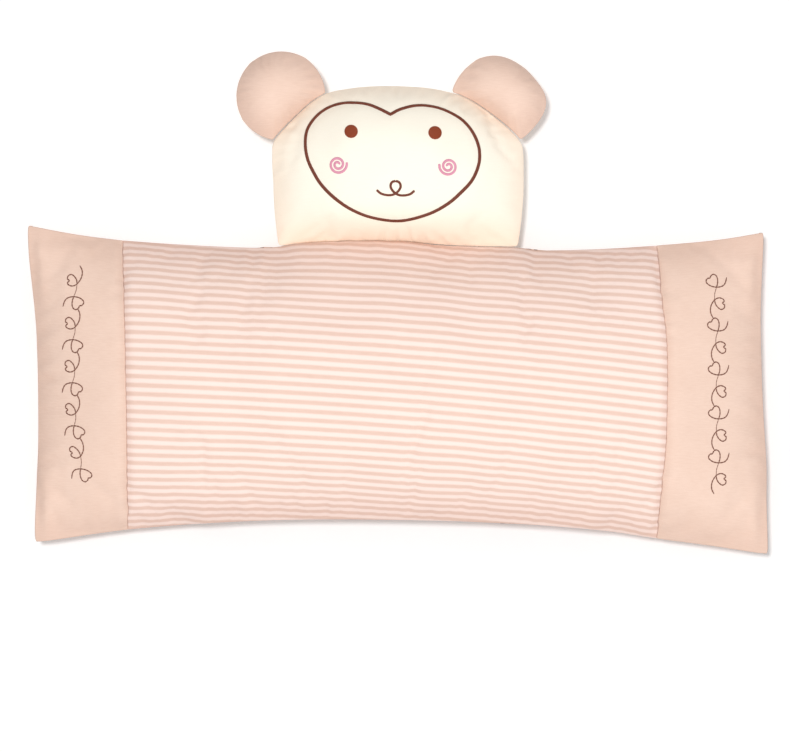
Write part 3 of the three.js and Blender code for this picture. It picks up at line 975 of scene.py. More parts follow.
class Sheet:
    """A node tree being filled, with short calls for the nodes it needs most."""

    def __init__(self, tree: bpy.types.NodeTree) -> None:
        """Keeps the tree that nodes are added to."""
        self.tree = tree

    def node(self, kind: str, inputs: dict | None = None, **settings: object) -> bpy.types.Node:
        """Adds a node.

        Args:
            kind: the node's type.
            inputs: values or output sockets, by input name or number.
            settings: the node's own properties.

        Returns:
            The node.
        """
        made = self.tree.nodes.new(kind)
        for name, value in settings.items():
            setattr(made, name, value)
        for name, value in (inputs or {}).items():
            if isinstance(value, Socket):
                self.tree.links.new(value, made.inputs[name])
            else:
                made.inputs[name].default_value = value
        return made

    def maths(self, operation: str, a: object, b: object = 0.0, clamp: bool = False) -> Socket:
        """The result of one sum on numbers or sockets."""
        return self.node("ShaderNodeMath", {0: a, 1: b}, operation=operation, use_clamp=clamp).outputs[0]

    def ranged(self, value: object, low: float, high: float, to_low: float = 0.0,
               to_high: float = 1.0) -> Socket:
        """A value carried smoothly from one range to another."""
        inputs = {"Value": value, "From Min": low, "From Max": high, "To Min": to_low, "To Max": to_high}
        return self.node("ShaderNodeMapRange", inputs, interpolation_type="SMOOTHSTEP").outputs[0]

    def mix(self, share: object, a: object, b: object, blend: str = "MIX") -> Socket:
        """Two colours mixed by a share."""
        inputs = {0: share, 6: a, 7: b}
        return self.node("ShaderNodeMix", inputs, data_type="RGBA", blend_type=blend).outputs[2]

    def noise(self, vector: object, scale: float, detail: float = 3.0,
              rough: float = 0.55) -> Socket:
        """Seeded cloud noise between 0 and 1."""
        inputs = {"Vector": vector, "Scale": scale, "Detail": detail, "Roughness": rough}
        return self.node("ShaderNodeTexNoise", inputs).outputs[0]

    def stretched(self, vector: object, scale: tuple) -> Socket:
        """A vector with each part multiplied."""
        inputs = {0: vector, 1: scale}
        return self.node("ShaderNodeVectorMath", inputs, operation="MULTIPLY").outputs[0]

    def split(self, vector: object) -> tuple[Socket, Socket]:
        """A vector's first two parts."""
        parts = self.node("ShaderNodeSeparateXYZ", {0: vector})
        return parts.outputs[0], parts.outputs[1]

    def group(self, made: bpy.types.NodeTree, **inputs: object) -> bpy.types.Node:
        """Places a shader group, with its inputs named in words joined by underscores."""
        placed = self.node("ShaderNodeGroup")
        placed.node_tree = made
        for name, value in inputs.items():
            socket = placed.inputs[name.replace("_", " ").title()]
            if isinstance(value, Socket):
                self.tree.links.new(value, socket)
            else:
                socket.default_value = value
        return placed


def new_group(name: str, inputs: dict[str, object], outputs: tuple[str, ...]) -> tuple[Sheet, dict, dict]:
    """Starts a shader group.

    Args:
        name: the group's name.
        inputs: a default number for each value input, or None for a vector input.
        outputs: the names of its outputs, each a number.

    Returns:
        The sheet to fill, the input sockets by name and the output node's sockets by name.
    """
    tree = bpy.data.node_groups.new(name, "ShaderNodeTree")
    for word, value in inputs.items():
        kind = "NodeSocketVector" if value is None else "NodeSocketFloat"
        socket = tree.interface.new_socket(name=word, in_out="INPUT", socket_type=kind)
        if value is not None:
            socket.default_value = value
    for word in outputs:
        tree.interface.new_socket(name=word, in_out="OUTPUT", socket_type="NodeSocketFloat")
    sheet = Sheet(tree)
    start = sheet.node("NodeGroupInput")
    stop = sheet.node("NodeGroupOutput")
    return sheet, {s.name: s for s in start.outputs if s.name}, {s.name: s for s in stop.inputs if s.name}


class Effects:
    """The shader groups that several finishes share."""

    def __init__(self) -> None:
        """Builds each group once."""
        self.jersey = self._jersey()
        self.heather = self._heather()
        self.weave = self._weave()
        self.floss = self._floss()

    @staticmethod
    def _jersey() -> bpy.types.NodeTree:
        """Knit stitches: two slanting legs to a wale, beaded at each course.

        Returns:
            A group with outputs Height and Gap; Gap weights the painted shade in the hollows between
            stitches.
        """
        inputs = {"Cloth": None, "Wale": 0.95, "Course": 0.75}
        sheet, given, made = new_group("jersey_knit", inputs, ("Height", "Gap"))
        right, up = sheet.split(given["Cloth"])
        wale = sheet.maths("DIVIDE", right, given["Wale"])
        beside = sheet.maths("ABSOLUTE", sheet.maths("SUBTRACT", sheet.maths("FRACT", wale), 0.5))
        off_leg = sheet.maths("ABSOLUTE", sheet.maths("SUBTRACT", beside, 0.25))
        leg = sheet.ranged(off_leg, 0.25, 0.0)
        slant = sheet.maths("MULTIPLY", beside, 1.7)
        course = sheet.maths("ADD", sheet.maths("DIVIDE", up, given["Course"]), slant)
        beads = sheet.maths("COSINE", sheet.maths("MULTIPLY", course, FULL_TURN))
        bead = sheet.maths("ADD", sheet.maths("MULTIPLY", beads, 0.22), 0.78)
        height = sheet.maths("MULTIPLY", leg, bead)
        sheet.tree.links.new(height, made["Height"])
        # Gap rises where the stitch relief is low: the weight of the painted shade in the knit's hollows.
        sheet.tree.links.new(sheet.ranged(height, 0.35, 0.0), made["Gap"])
        return sheet.tree

    @staticmethod
    def _heather() -> bpy.types.NodeTree:
        """Uneven cotton: pale and dark slubs along the courses over soft clouds.

        Returns:
            A group with output Tone, between 0 and 1.
        """
        sheet, given, made = new_group("cotton_heather", {"Cloth": None, "Slub": 1.0}, ("Tone",))
        slubs = sheet.noise(sheet.stretched(given["Cloth"], (0.16, 1.1, 1.0)), 1.0, 4.0, 0.6)
        clouds = sheet.noise(sheet.stretched(given["Cloth"], (0.03, 0.035, 1.0)), 1.0, 2.0)
        sharp = sheet.ranged(slubs, 0.3, 0.7)
        mixed = sheet.maths("MULTIPLY", sheet.maths("SUBTRACT", sharp, 0.5), given["Slub"])
        tone = sheet.maths("ADD", mixed, clouds, clamp=True)
        sheet.tree.links.new(tone, made["Tone"])
        return sheet.tree

    @staticmethod
    def _weave() -> bpy.types.NodeTree:
        """Plain weave of flat yarns.

        Returns:
            A group with output Height.
        """
        sheet, given, made = new_group("plain_weave", {"Cloth": None, "Yarn": 0.5}, ("Height",))
        right, up = sheet.split(given["Cloth"])
        waves = []
        for place in (right, up):
            turn = sheet.maths("MULTIPLY", sheet.maths("DIVIDE", place, given["Yarn"]), math.pi)
            waves.append(sheet.maths("SINE", turn))
        height = sheet.maths("MULTIPLY", *waves)
        sheet.tree.links.new(sheet.ranged(height, -1.0, 1.0), made["Height"])
        return sheet.tree

    @staticmethod
    def _floss() -> bpy.types.NodeTree:
        """Embroidery thread: fine fibres that lie across a satin line, or along a running one.

        Returns:
            A group with outputs Height and Tone; Tone follows the relief, a painted highlight on the stitch
            ridges together with random fibre tone.
        """
        sheet, given, made = new_group("floss_fibre", {"Cloth": None, "Pitch": 0.42}, ("Height", "Tone"))
        run, _ = sheet.split(given["Cloth"])
        turns = sheet.maths("MULTIPLY", sheet.maths("DIVIDE", run, given["Pitch"]), FULL_TURN)
        ridge = sheet.ranged(sheet.maths("COSINE", turns), -1.0, 1.0)
        fibre = sheet.noise(sheet.stretched(given["Cloth"], (9.0, 1.2, 1.0)), 1.0, 2.0)
        height = sheet.maths("ADD", sheet.maths("MULTIPLY", ridge, 0.6), sheet.maths("MULTIPLY", fibre, 0.5))
        sheet.tree.links.new(height, made["Height"])
        # Tone follows the relief: painted highlight on the ridges, random tone along the fibres.
        sheet.tree.links.new(sheet.maths("MULTIPLY", height, 0.9, clamp=True), made["Tone"])
        return sheet.tree


# --- Finishes ---

Colour = tuple[float, float, float, float]


@dataclass(frozen=True)
class Surface:
    """What every finish sets straight on the Principled shader."""

    roughness: float = 0.92
    specular: float = 0.25
    sheen: float = 0.12
    sheen_roughness: float = 0.5
    metallic: float = 0.0
    coat: float = 0.0

    def start(self, name: str) -> tuple[bpy.types.Material, Sheet, bpy.types.Node]:
        """Makes a material with its shader set.

        Args:
            name: the material's name.

        Returns:
            The material, its sheet and its Principled node.
        """
        material = bpy.data.materials.new(name)
        material.use_nodes = True
        sheet = Sheet(material.node_tree)
        shader = material.node_tree.nodes["Principled BSDF"]
        shader.inputs["Roughness"].default_value = self.roughness
        shader.inputs["Specular IOR Level"].default_value = self.specular
        shader.inputs["Sheen Weight"].default_value = self.sheen
        shader.inputs["Sheen Roughness"].default_value = self.sheen_roughness
        shader.inputs["Metallic"].default_value = self.metallic
        shader.inputs["Coat Weight"].default_value = self.coat
        return material, sheet, shader


def cloth_coordinates(sheet: Sheet) -> Socket:
    """The cloth coordinates that every new mesh carries, in millimetres."""
    return sheet.node("ShaderNodeUVMap", uv_map="cloth").outputs[0]


@dataclass(frozen=True)
class Finish:
    """A finish between two colours, with its colour and relief drawn by node."""

    name: str
    light: Colour
    dark: Colour

    def draw(self, sheet: Sheet, effects: Effects) -> dict:
        """The finish's sockets: Base Color, Height and perhaps Roughness."""
        raise NotImplementedError

    def build(self, effects: Effects) -> bpy.types.Material:
        """Makes the material.

        Args:
            effects: the shared shader groups.

        Returns:
            The material.
        """
        material, sheet, shader = self.surface.start(self.name)
        drawn = self.draw(sheet, effects)
        bump = sheet.node("ShaderNodeBump", {"Height": drawn.pop("Height"), "Distance": self.depth * MM,
                                             "Strength": 1.0})
        for socket, value in {**drawn, "Normal": bump.outputs[0]}.items():
            sheet.tree.links.new(value, shader.inputs[socket])
        return material


@dataclass(frozen=True)
class JerseyFinish(Finish):
    """Plain cotton jersey with a soft nap."""

    slub: float = 0.8
    # The painted shade in the knit's hollows darkens the colour by up to one minus this share.
    gap_shade: float = 0.9
    depth: float = 0.05
    # The colour multiplied in near seams, rims and the neck: painted shade.
    seam_tint: Colour = (1.0, 0.97, 0.96, 1.0)
    surface: Surface = Surface()

    def base(self, sheet: Sheet, cloth: Socket, effects: Effects) -> Socket:
        """The cloth's colour before its stitches shade it."""
        tone = sheet.group(effects.heather, cloth=cloth, slub=self.slub).outputs["Tone"]
        return sheet.mix(tone, self.dark, self.light)

    def draw(self, sheet: Sheet, effects: Effects) -> dict:
        """The jersey's colour, with painted shade in its gaps and near seams, and its stitches."""
        cloth = cloth_coordinates(sheet)
        knit = sheet.group(effects.jersey, cloth=cloth)
        colour = self.base(sheet, cloth, effects)
        # Painted shade near seams, rims and the neck, weighted per vertex.
        near = sheet.node("ShaderNodeAttribute", attribute_name=PAINTED_SHADE_WEIGHT).outputs["Fac"]
        colour = sheet.mix(near, colour, sheet.mix(1.0, colour, self.seam_tint, "MULTIPLY"))
        # Painted shade in the hollows between stitches.
        gap = sheet.maths("MULTIPLY", knit.outputs["Gap"], 1 - self.gap_shade)
        fuzz = sheet.noise(cloth, 2.2, 4.0, 0.7)
        relief = sheet.maths("ADD", sheet.maths("MULTIPLY", knit.outputs["Height"], 0.7),
                             sheet.maths("MULTIPLY", fuzz, 0.5))
        return {"Base Color": sheet.mix(gap, colour, (0.0, 0.0, 0.0, 1.0)), "Height": relief}


@dataclass(frozen=True)
class StripedFinish(JerseyFinish):
    """Jersey whose stripes are knitted in, one repeat every few millimetres."""

    stripe_light: Colour = (0.965, 0.775, 0.70, 1.0)
    repeat: float = 5.95
    soft_edge: float = 0.75

    def base(self, sheet: Sheet, cloth: Socket, effects: Effects) -> Socket:
        """Ground and stripe, each a little uneven."""
        tone = sheet.group(effects.heather, cloth=cloth, slub=self.slub).outputs["Tone"]
        ground = sheet.mix(tone, self.dark, self.light)
        pale = tuple(0.975 * c for c in self.stripe_light[:3]) + (1.0,)
        stripe = sheet.mix(tone, pale, self.stripe_light)
        _, up = sheet.split(cloth)
        waver = sheet.noise(sheet.stretched(cloth, (0.12, 0.5, 1.0)), 1.0, 2.0)
        strayed = sheet.maths("ADD", up, sheet.maths("MULTIPLY", waver, 0.5))
        turns = sheet.maths("MULTIPLY", sheet.maths("DIVIDE", strayed, self.repeat), FULL_TURN)
        band = sheet.ranged(sheet.maths("SINE", turns), -self.soft_edge, self.soft_edge)
        return sheet.mix(band, ground, stripe)


@dataclass(frozen=True)
class PrintedFinish(JerseyFinish):
    """Jersey printed with small scattered dots of two colours."""

    brown_dot: Colour = (0.20, 0.07, 0.04, 1.0)
    pink_dot: Colour = (0.87, 0.36, 0.45, 1.0)
    spacing: float = 7.0
    dot: float = 0.24

    def base(self, sheet: Sheet, cloth: Socket, effects: Effects) -> Socket:
        """Ground with dots, each in its own cell of the cloth."""
        ground = super().base(sheet, cloth, effects)
        waver = sheet.node("ShaderNodeTexNoise", {"Vector": cloth, "Scale": 0.5, "Detail": 2.0}).outputs[1]
        bent = sheet.node("ShaderNodeVectorMath", {0: cloth, 1: waver}, operation="ADD").outputs[0]
        inputs = {"Vector": bent, "Scale": 1 / self.spacing, "Randomness": 0.75}
        spots = sheet.node("ShaderNodeTexVoronoi", inputs, voronoi_dimensions="2D")
        mask = sheet.ranged(spots.outputs["Distance"], self.dot + 0.03, self.dot - 0.03)
        pick, _ = sheet.split(spots.outputs["Color"])
        dot = sheet.mix(sheet.maths("GREATER_THAN", pick, 0.6), self.brown_dot, self.pink_dot)
        return sheet.mix(mask, ground, dot)


@dataclass(frozen=True)
class FlossFinish(Finish):
    """Shiny embroidery thread."""

    pitch: float = 0.42
    depth: float = 0.06
    surface: Surface = Surface(roughness=0.55, specular=0.3, sheen=0.0)

    def draw(self, sheet: Sheet, effects: Effects) -> dict:
        """The thread's colour, lighter on its ridges as a painted highlight, and its fibres."""
        floss = sheet.group(effects.floss, cloth=cloth_coordinates(sheet), pitch=self.pitch)
        colour = sheet.mix(floss.outputs["Tone"], self.dark, self.light)
        return {"Base Color": colour, "Height": floss.outputs["Height"]}


@dataclass(frozen=True)
class WovenFinish(Finish):
    """Woven cloth or tape."""

    yarn: float = 0.5
    depth: float = 0.08
    surface: Surface = Surface(roughness=0.85, sheen=0.05)

    def draw(self, sheet: Sheet, effects: Effects) -> dict:
        """The weave's colour, darker between the yarns as painted shade and uneven at random, and its yarns.
        """
        cloth = cloth_coordinates(sheet)
        weave = sheet.group(effects.weave, cloth=cloth, yarn=self.yarn).outputs["Height"]
        tone = sheet.group(effects.heather, cloth=cloth, slub=0.5).outputs["Tone"]
        # Colour follows the weave's relief: painted shade between the yarns, mixed with random tone.
        share = sheet.maths("MULTIPLY", sheet.maths("ADD", weave, tone), 0.5, clamp=True)
        return {"Base Color": sheet.mix(share, self.dark, self.light), "Height": weave}


@dataclass(frozen=True)
class CloudFinish(Finish):
    """A solid material with a fine uneven surface: fibre, backing, nylon or enamel."""

    grain: float
    depth: float
    surface: Surface

    def draw(self, sheet: Sheet, effects: Effects) -> dict:
        """The cloudy colour, an uneven roughness and a fine relief."""
        place = sheet.node("ShaderNodeTexCoord").outputs["Object"]
        clouds = sheet.noise(place, self.grain, 5.0, 0.65)
        tone = sheet.ranged(clouds, 0.3, 0.7)
        rough = sheet.ranged(clouds, 0.2, 0.8, self.surface.roughness * 0.85, self.surface.roughness)
        return {"Base Color": sheet.mix(tone, self.dark, self.light), "Roughness": rough, "Height": clouds}


class Wardrobe:
    """Every finish of the toy, built once and given out by name."""

    def __init__(self) -> None:
        """Builds the shared groups and the finishes."""
        effects = Effects()
        finishes = (
            # The seam colours below are painted shade at seams, rims and the neck; the cream's is warm.
            JerseyFinish("tan_jersey", (0.875, 0.655, 0.545, 1), (0.81, 0.585, 0.475, 1), slub=0.55,
                         seam_tint=(0.90, 0.87, 0.86, 1.0)),
            JerseyFinish("cream_jersey", (0.995, 0.94, 0.82, 1), (0.985, 0.915, 0.785, 1), slub=0.5,
                         seam_tint=(0.975, 0.85, 0.79, 1.0)),
            StripedFinish("striped_jersey", (0.83, 0.60, 0.505, 1), (0.77, 0.545, 0.455, 1), slub=0.5,
                          seam_tint=(0.92, 0.88, 0.87, 1.0)),
            PrintedFinish("printed_jersey", (0.85, 0.64, 0.53, 1), (0.80, 0.58, 0.47, 1)),
            FlossFinish("brown_floss", (0.22, 0.056, 0.029, 1), (0.12, 0.028, 0.015, 1)),
            FlossFinish("eye_floss", (0.34, 0.062, 0.017, 1), (0.19, 0.032, 0.01, 1)),
            FlossFinish("vine_floss", (0.25, 0.105, 0.07, 1), (0.14, 0.055, 0.037, 1), pitch=2.3),
            FlossFinish("pink_floss", (0.80, 0.36, 0.48, 1), (0.66, 0.26, 0.38, 1)),
            WovenFinish("case_cloth", (0.92, 0.90, 0.86, 1), (0.80, 0.78, 0.74, 1)),
            WovenFinish("zip_tape", (0.93, 0.74, 0.62, 1), (0.76, 0.57, 0.46, 1), yarn=0.6, depth=0.12),
            CloudFinish("fibre_filling", (0.95, 0.95, 0.94, 1), (0.82, 0.82, 0.80, 1), 260.0, 0.8, Surface()),
            CloudFinish("stabiliser", (0.94, 0.94, 0.92, 1), (0.85, 0.85, 0.83, 1), 1200.0, 0.08, Surface()),
            CloudFinish("zip_nylon", (0.92, 0.76, 0.66, 1), (0.84, 0.67, 0.56, 1), 1500.0, 0.01,
                        Surface(roughness=0.38, specular=0.5, sheen=0.0)),
            CloudFinish("zip_enamel", (0.78, 0.62, 0.52, 1), (0.70, 0.54, 0.44, 1), 900.0, 0.015,
                        Surface(roughness=0.3, specular=0.5, sheen=0.0, coat=0.4)),
        )
        self.materials = {finish.name: finish.build(effects) for finish in finishes}

    def dress(self, piece: Piece, finish: str, slot: str) -> None:
        """Gives a piece its material.

        Args:
            piece: the piece, new or a CAD node.
            finish: the finish's name.
            slot: not used.
        """
        piece.data.materials.clear()
        piece.data.materials.append(self.materials[finish])

    def hand_in(self, piece: Piece, finish: str, slot: str, node: str, body: str | None = "pillow",
                fill: float | None = None) -> None:
        """Dresses a new piece, gives it to its body, hides the CAD node it stands for and logs its face
        count.

        Args:
            piece: the piece.
            finish: the finish's name.
            slot: the record's slot.
            node: the CAD node it stands for.
            body: the body it rides on, or None to leave it unattached.
            fill: not used.
        """
        self.dress(piece, finish, slot)
        if body is not None:
            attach(piece, body)
        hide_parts(node)
        log.info("%s: %d faces", piece.name, len(piece.data.polygons))


# --- Finding the cover's outside ---


class Drape:
    """Lays flat drawings on top of a finished panel."""

    def __init__(self, piece: Piece) -> None:
        """Keeps the panel's faces for looking down on."""
        points = [LAYOUT.local(vertex.co) for vertex in piece.data.vertices]
        faces = [list(face.vertices) for face in piece.data.polygons]
        self.tree = BVHTree.FromPolygons([Vector(p) for p in points], faces)

    def lay(self, flat: Array) -> tuple[Array, Array]:
        """Drops points on the panel.

        Args:
            flat: points seen from above, in local millimetres.

        Returns:
            The points on the cloth and the cloth's outward direction at each.
        """
        places, normals = [], []
        last = (Vector((0, 0, LAYOUT.seam_z)), Vector((0, 0, 1)))
        for x, y in flat:
            hit, normal, _, _ = self.tree.ray_cast(Vector((x, y, 200.0)), Vector((0, 0, -1)))
            if hit is None:
                hit, normal = Vector((x, y, last[0].z)), last[1]
            last = (hit, normal)
            places.append(hit)
            normals.append(normal)
        return np.array(places), np.array(normals)


@dataclass(frozen=True)
class Stitching:
    """A line of thread laid on cloth: satin stitches across it, or a running thread along it."""

    width: float
    height: float
    pitch: float
    swell: float
    sink: float = 0.25
    ring: int = 10
    steps_per_pitch: int = 4

    def sew(self, flat: Array, drape: Drape, closed: bool = False,
            widths: Array | None = None) -> tuple:
        """Lays the thread.

        Args:
            flat: the line's finely drawn points seen from above.
            drape: the panel it is laid on.
            closed: whether its end joins its start.
            widths: a share of the width at each point, if it varies.

        Returns:
            The points, faces and cloth coordinates of the line.
        """
        dense = np.vstack([flat, flat[:1]]) if closed else flat
        line = even_line(dense, self.pitch / self.steps_per_pitch, closed)
        places, normals = drape.lay(line)
        kernel = np.hanning(13) / np.hanning(13).sum()
        mode = "wrap" if closed else "edge"
        padded = np.pad(normals, ((6, 6), (0, 0)), mode=mode)
        normals = np.stack([np.convolve(padded[:, k], kernel, "valid") for k in range(3)], -1)
        ahead = np.roll(places, -1, axis=0) - np.roll(places, 1, axis=0)
        if not closed:
            ahead[0], ahead[-1] = places[1] - places[0], places[-1] - places[-2]
        side = np.cross(ahead, normals)
        side /= np.maximum(np.linalg.norm(side, axis=1, keepdims=True), 1e-9)
        up = np.cross(side, ahead)
        up /= np.maximum(np.linalg.norm(up, axis=1, keepdims=True), 1e-9)
        run = np.arange(len(line)) * self.pitch / self.steps_per_pitch
        stitch = 1 + self.swell * np.cos(FULL_TURN * run / self.pitch)
        share = np.ones(len(line)) if widths is None else np.interp(
            np.linspace(0, 1, len(line)), np.linspace(0, 1, len(widths)), widths)
        if not closed:
            ends = np.minimum(np.arange(len(line)), np.arange(len(line))[::-1])
            share = share * np.sqrt(np.clip((ends + 0.4) / 4, 0, 1))
        half = self.width / 2 * stitch * share
        return swept(places, side, up, half, self.height * stitch * share, self.sink, self.ring, closed)


# --- The toy ---


@dataclass
class PillowCover:
    """The pillow's outside: a striped middle between two plain ends, and a printed back."""

    wardrobe: Wardrobe
    form: PillowForm
    fill: float = 0.75
    step: float = 2.3
    slant: float = 0.0685
    slant_growth: float = 0.00013
    panels: dict = field(default_factory=dict)

    def build(self) -> None:
        """Makes the four panels, dresses them and gives them to the pillow's body."""
        along = Run(-1, 1, self.form.zip_edge, self.step)
        seam = self.form.seam_share
        scale = LAYOUT.half_length
        runs = {
            "front_left_panel": Run(-1, -seam, scale, self.step, Edge.RIM, Edge.SEAM),
            "front_center_panel": Run(-seam, seam, scale, self.step, Edge.SEAM, Edge.SEAM),
            "front_right_panel": Run(seam, 1, scale, self.step, Edge.SEAM, Edge.RIM),
        }
        for name, across in runs.items():
            net = self.form.net(Side.FRONT, across, along)
            if name == "front_center_panel":
                self.slant_stripes(net)
            self.finish(cloth_shell(f"cover_{name}", net, Side.FRONT, rim_thickness(net)), name)
        back = self.form.net(Side.BACK, Run(-1, 1, scale, 2 * self.step), along)
        self.finish(cloth_shell("cover_back_panel", back, Side.BACK, rim_thickness(back)), "back_panel")

    def slant_stripes(self, net: Net) -> None:
        """Turns the middle panel's courses down towards the right, as it was cut and sewn."""
        x = net.points[..., 0]
        net.cloth[..., 1] += self.slant * x + self.slant_growth * x * x

    def finish(self, panel: Piece, node: str) -> None:
        """Dresses a panel and gives it to the pillow's body."""
        finishes = {"front_center_panel": ("striped_jersey", "striped_knit"),
                    "back_panel": ("printed_jersey", "tan_knit")}
        finish, slot = finishes.get(node, ("tan_jersey", "tan_knit"))
        self.wardrobe.hand_in(panel, finish, slot, node, fill=self.fill)
        self.panels[node] = panel


@dataclass
class InnerPad:
    """The pad inside the cover: a woven case in two halves round loose fibre."""

    wardrobe: Wardrobe
    share: tuple = (0.955, 0.85)
    case_rise: float = 36.5
    case_drop: float = 27.5
    fill_inset: float = 1.5
    fill: float = 0.75
    step: float = 5.0

    def form(self, inset: float) -> PillowForm:
        """The pad's shape, a chosen distance inside the case."""
        form = PillowForm(rise=self.case_rise - inset, drop=self.case_drop - inset, slot_half=0.0,
                          share=tuple(s * (1 - 0.006 * inset) for s in self.share), seam_share=2.0)
        form.swell = tuple((place, 0.0) for place, _ in form.swell)
        form.floor = 1.6 + inset
        return form

    def build(self) -> None:
        """Makes the case's two halves and the filling."""
        case = self.form(0.0)
        across = Run(-1, 1, LAYOUT.half_length, self.step)
        along = Run(-1, 1, case.zip_edge, self.step)
        for side, word in ((Side.FRONT, "front"), (Side.BACK, "back")):
            net = case.net(side, across, along)
            half = cloth_shell(f"pad_inner_case_{word}", net, side, rim_thickness(net, 0.3))
            self.wardrobe.hand_in(half, "case_cloth", "case_cloth", f"inner_case_{word}", fill=self.fill)
        stuffing = self.form(self.fill_inset)
        filling = stuffing.solid("pad_pillow_filling", 96, 44)
        self.wardrobe.hand_in(filling, "fibre_filling", "fibre_filling", "pillow_filling", fill=self.fill)


@dataclass
class Zip:
    """The zip in the lower edge: two woven tapes with spiral coils, a slider and its stops."""

    wardrobe: Wardrobe
    pitch: float = 1.3
    wire: float = 0.27
    tape_thickness: float = 0.4
    tape_spare: float = 15.0
    steps_per_turn: int = 14
    past_seam: float = 0.35

    def build(self) -> None:
        """Makes tapes and coils, and dresses the metal and moulded parts."""
        for up, word in ((1, "upper"), (-1, "lower")):
            self.build_tape(up, word)
            self.build_coil(up, word)
        for node in ("zip_top_stop_upper", "zip_top_stop_lower", "zip_bottom_stop"):
            self.wardrobe.dress(frame["nodes"][node], "zip_nylon", "zip_nylon")
        for node in ("zip_slider_body", "zip_pull"):
            self.wardrobe.dress(frame["nodes"][node], "zip_enamel", "zip_metal")
        log.info("zip stops, slider and pull: CAD nodes kept")

    def build_tape(self, up: int, word: str) -> None:
        """Makes one tape: a face behind the coil and a leg that runs in under the cloth.

        Args:
            up: 1 for the upper tape and -1 for the lower one.
            word: the tape's name.
        """
        low, high = LAYOUT.box(f"zip_tape_{word}")
        seam = LAYOUT.seam_z
        reach = abs((high if up > 0 else low)[2] - seam) - self.tape_thickness
        front, back = low[1], high[1]
        section = smooth_line([(front, 0.3), (front, reach - 1.2), (front + 0.35, reach - 0.3),
                               (front + 1.4, reach), (back, reach)], 0.45)
        x = np.arange(low[0] - self.tape_spare, high[0] + self.tape_spare + 0.1, 2.0)
        wave = Waves(seed=31, shortest=14, longest=40, one_way=True).at(x, 0 * x)
        points = np.zeros((len(section), len(x), 3))
        points[..., 0] = x
        points[..., 1] = section[:, :1] + 0.08 * wave
        points[..., 2] = seam + up * section[:, 1:]
        run = np.arange(len(section)) * 0.45
        cloth = np.stack(np.broadcast_arrays(x[None, :], run[:, None]), -1)
        side = Side.FRONT if up > 0 else Side.BACK
        tape = cloth_shell(f"zip_{word}_woven_tape", Net(points, cloth), side, self.tape_thickness)
        self.wardrobe.hand_in(tape, "zip_tape", "zip_tape", f"zip_tape_{word}")

    def build_coil(self, up: int, word: str) -> None:
        """Makes one spiral coil whose turns mesh with the other's.

        Args:
            up: 1 for the upper coil and -1 for the lower one.
            word: the coil's name.
        """
        low, high = LAYOUT.box(f"zip_coil_{word}")
        seam = LAYOUT.seam_z
        outer = abs((high if up > 0 else low)[2] - seam) - self.wire
        inner = -self.past_seam
        turns = (high[0] - low[0] - 2 * self.wire) / self.pitch - 0.5
        angle = np.linspace(0, FULL_TURN * turns, int(turns * self.steps_per_turn))
        path = np.stack([
            low[0] + self.wire + self.pitch * (angle / FULL_TURN + (0.5 if up < 0 else 0.0)),
            (low[1] + high[1]) / 2 + ((high[1] - low[1]) / 2 - self.wire) * np.cos(angle),
            seam + up * ((outer + inner) / 2 + (outer - inner) / 2 * np.sin(angle)),
        ], -1)
        ahead = np.gradient(path, axis=0)
        ahead /= np.linalg.norm(ahead, axis=1, keepdims=True)
        side = np.cross(ahead, [1.0, 0.0, 0.0])
        side /= np.linalg.norm(side, axis=1, keepdims=True)
        round_wire = np.full(len(path), self.wire)
        made = swept(path, side, np.cross(side, ahead), round_wire, round_wire, self.wire, 6, False)
        coil = merged(f"zip_{word}_spiral_coil", [made])
        self.wardrobe.hand_in(coil, "zip_nylon", "zip_nylon", f"zip_coil_{word}")


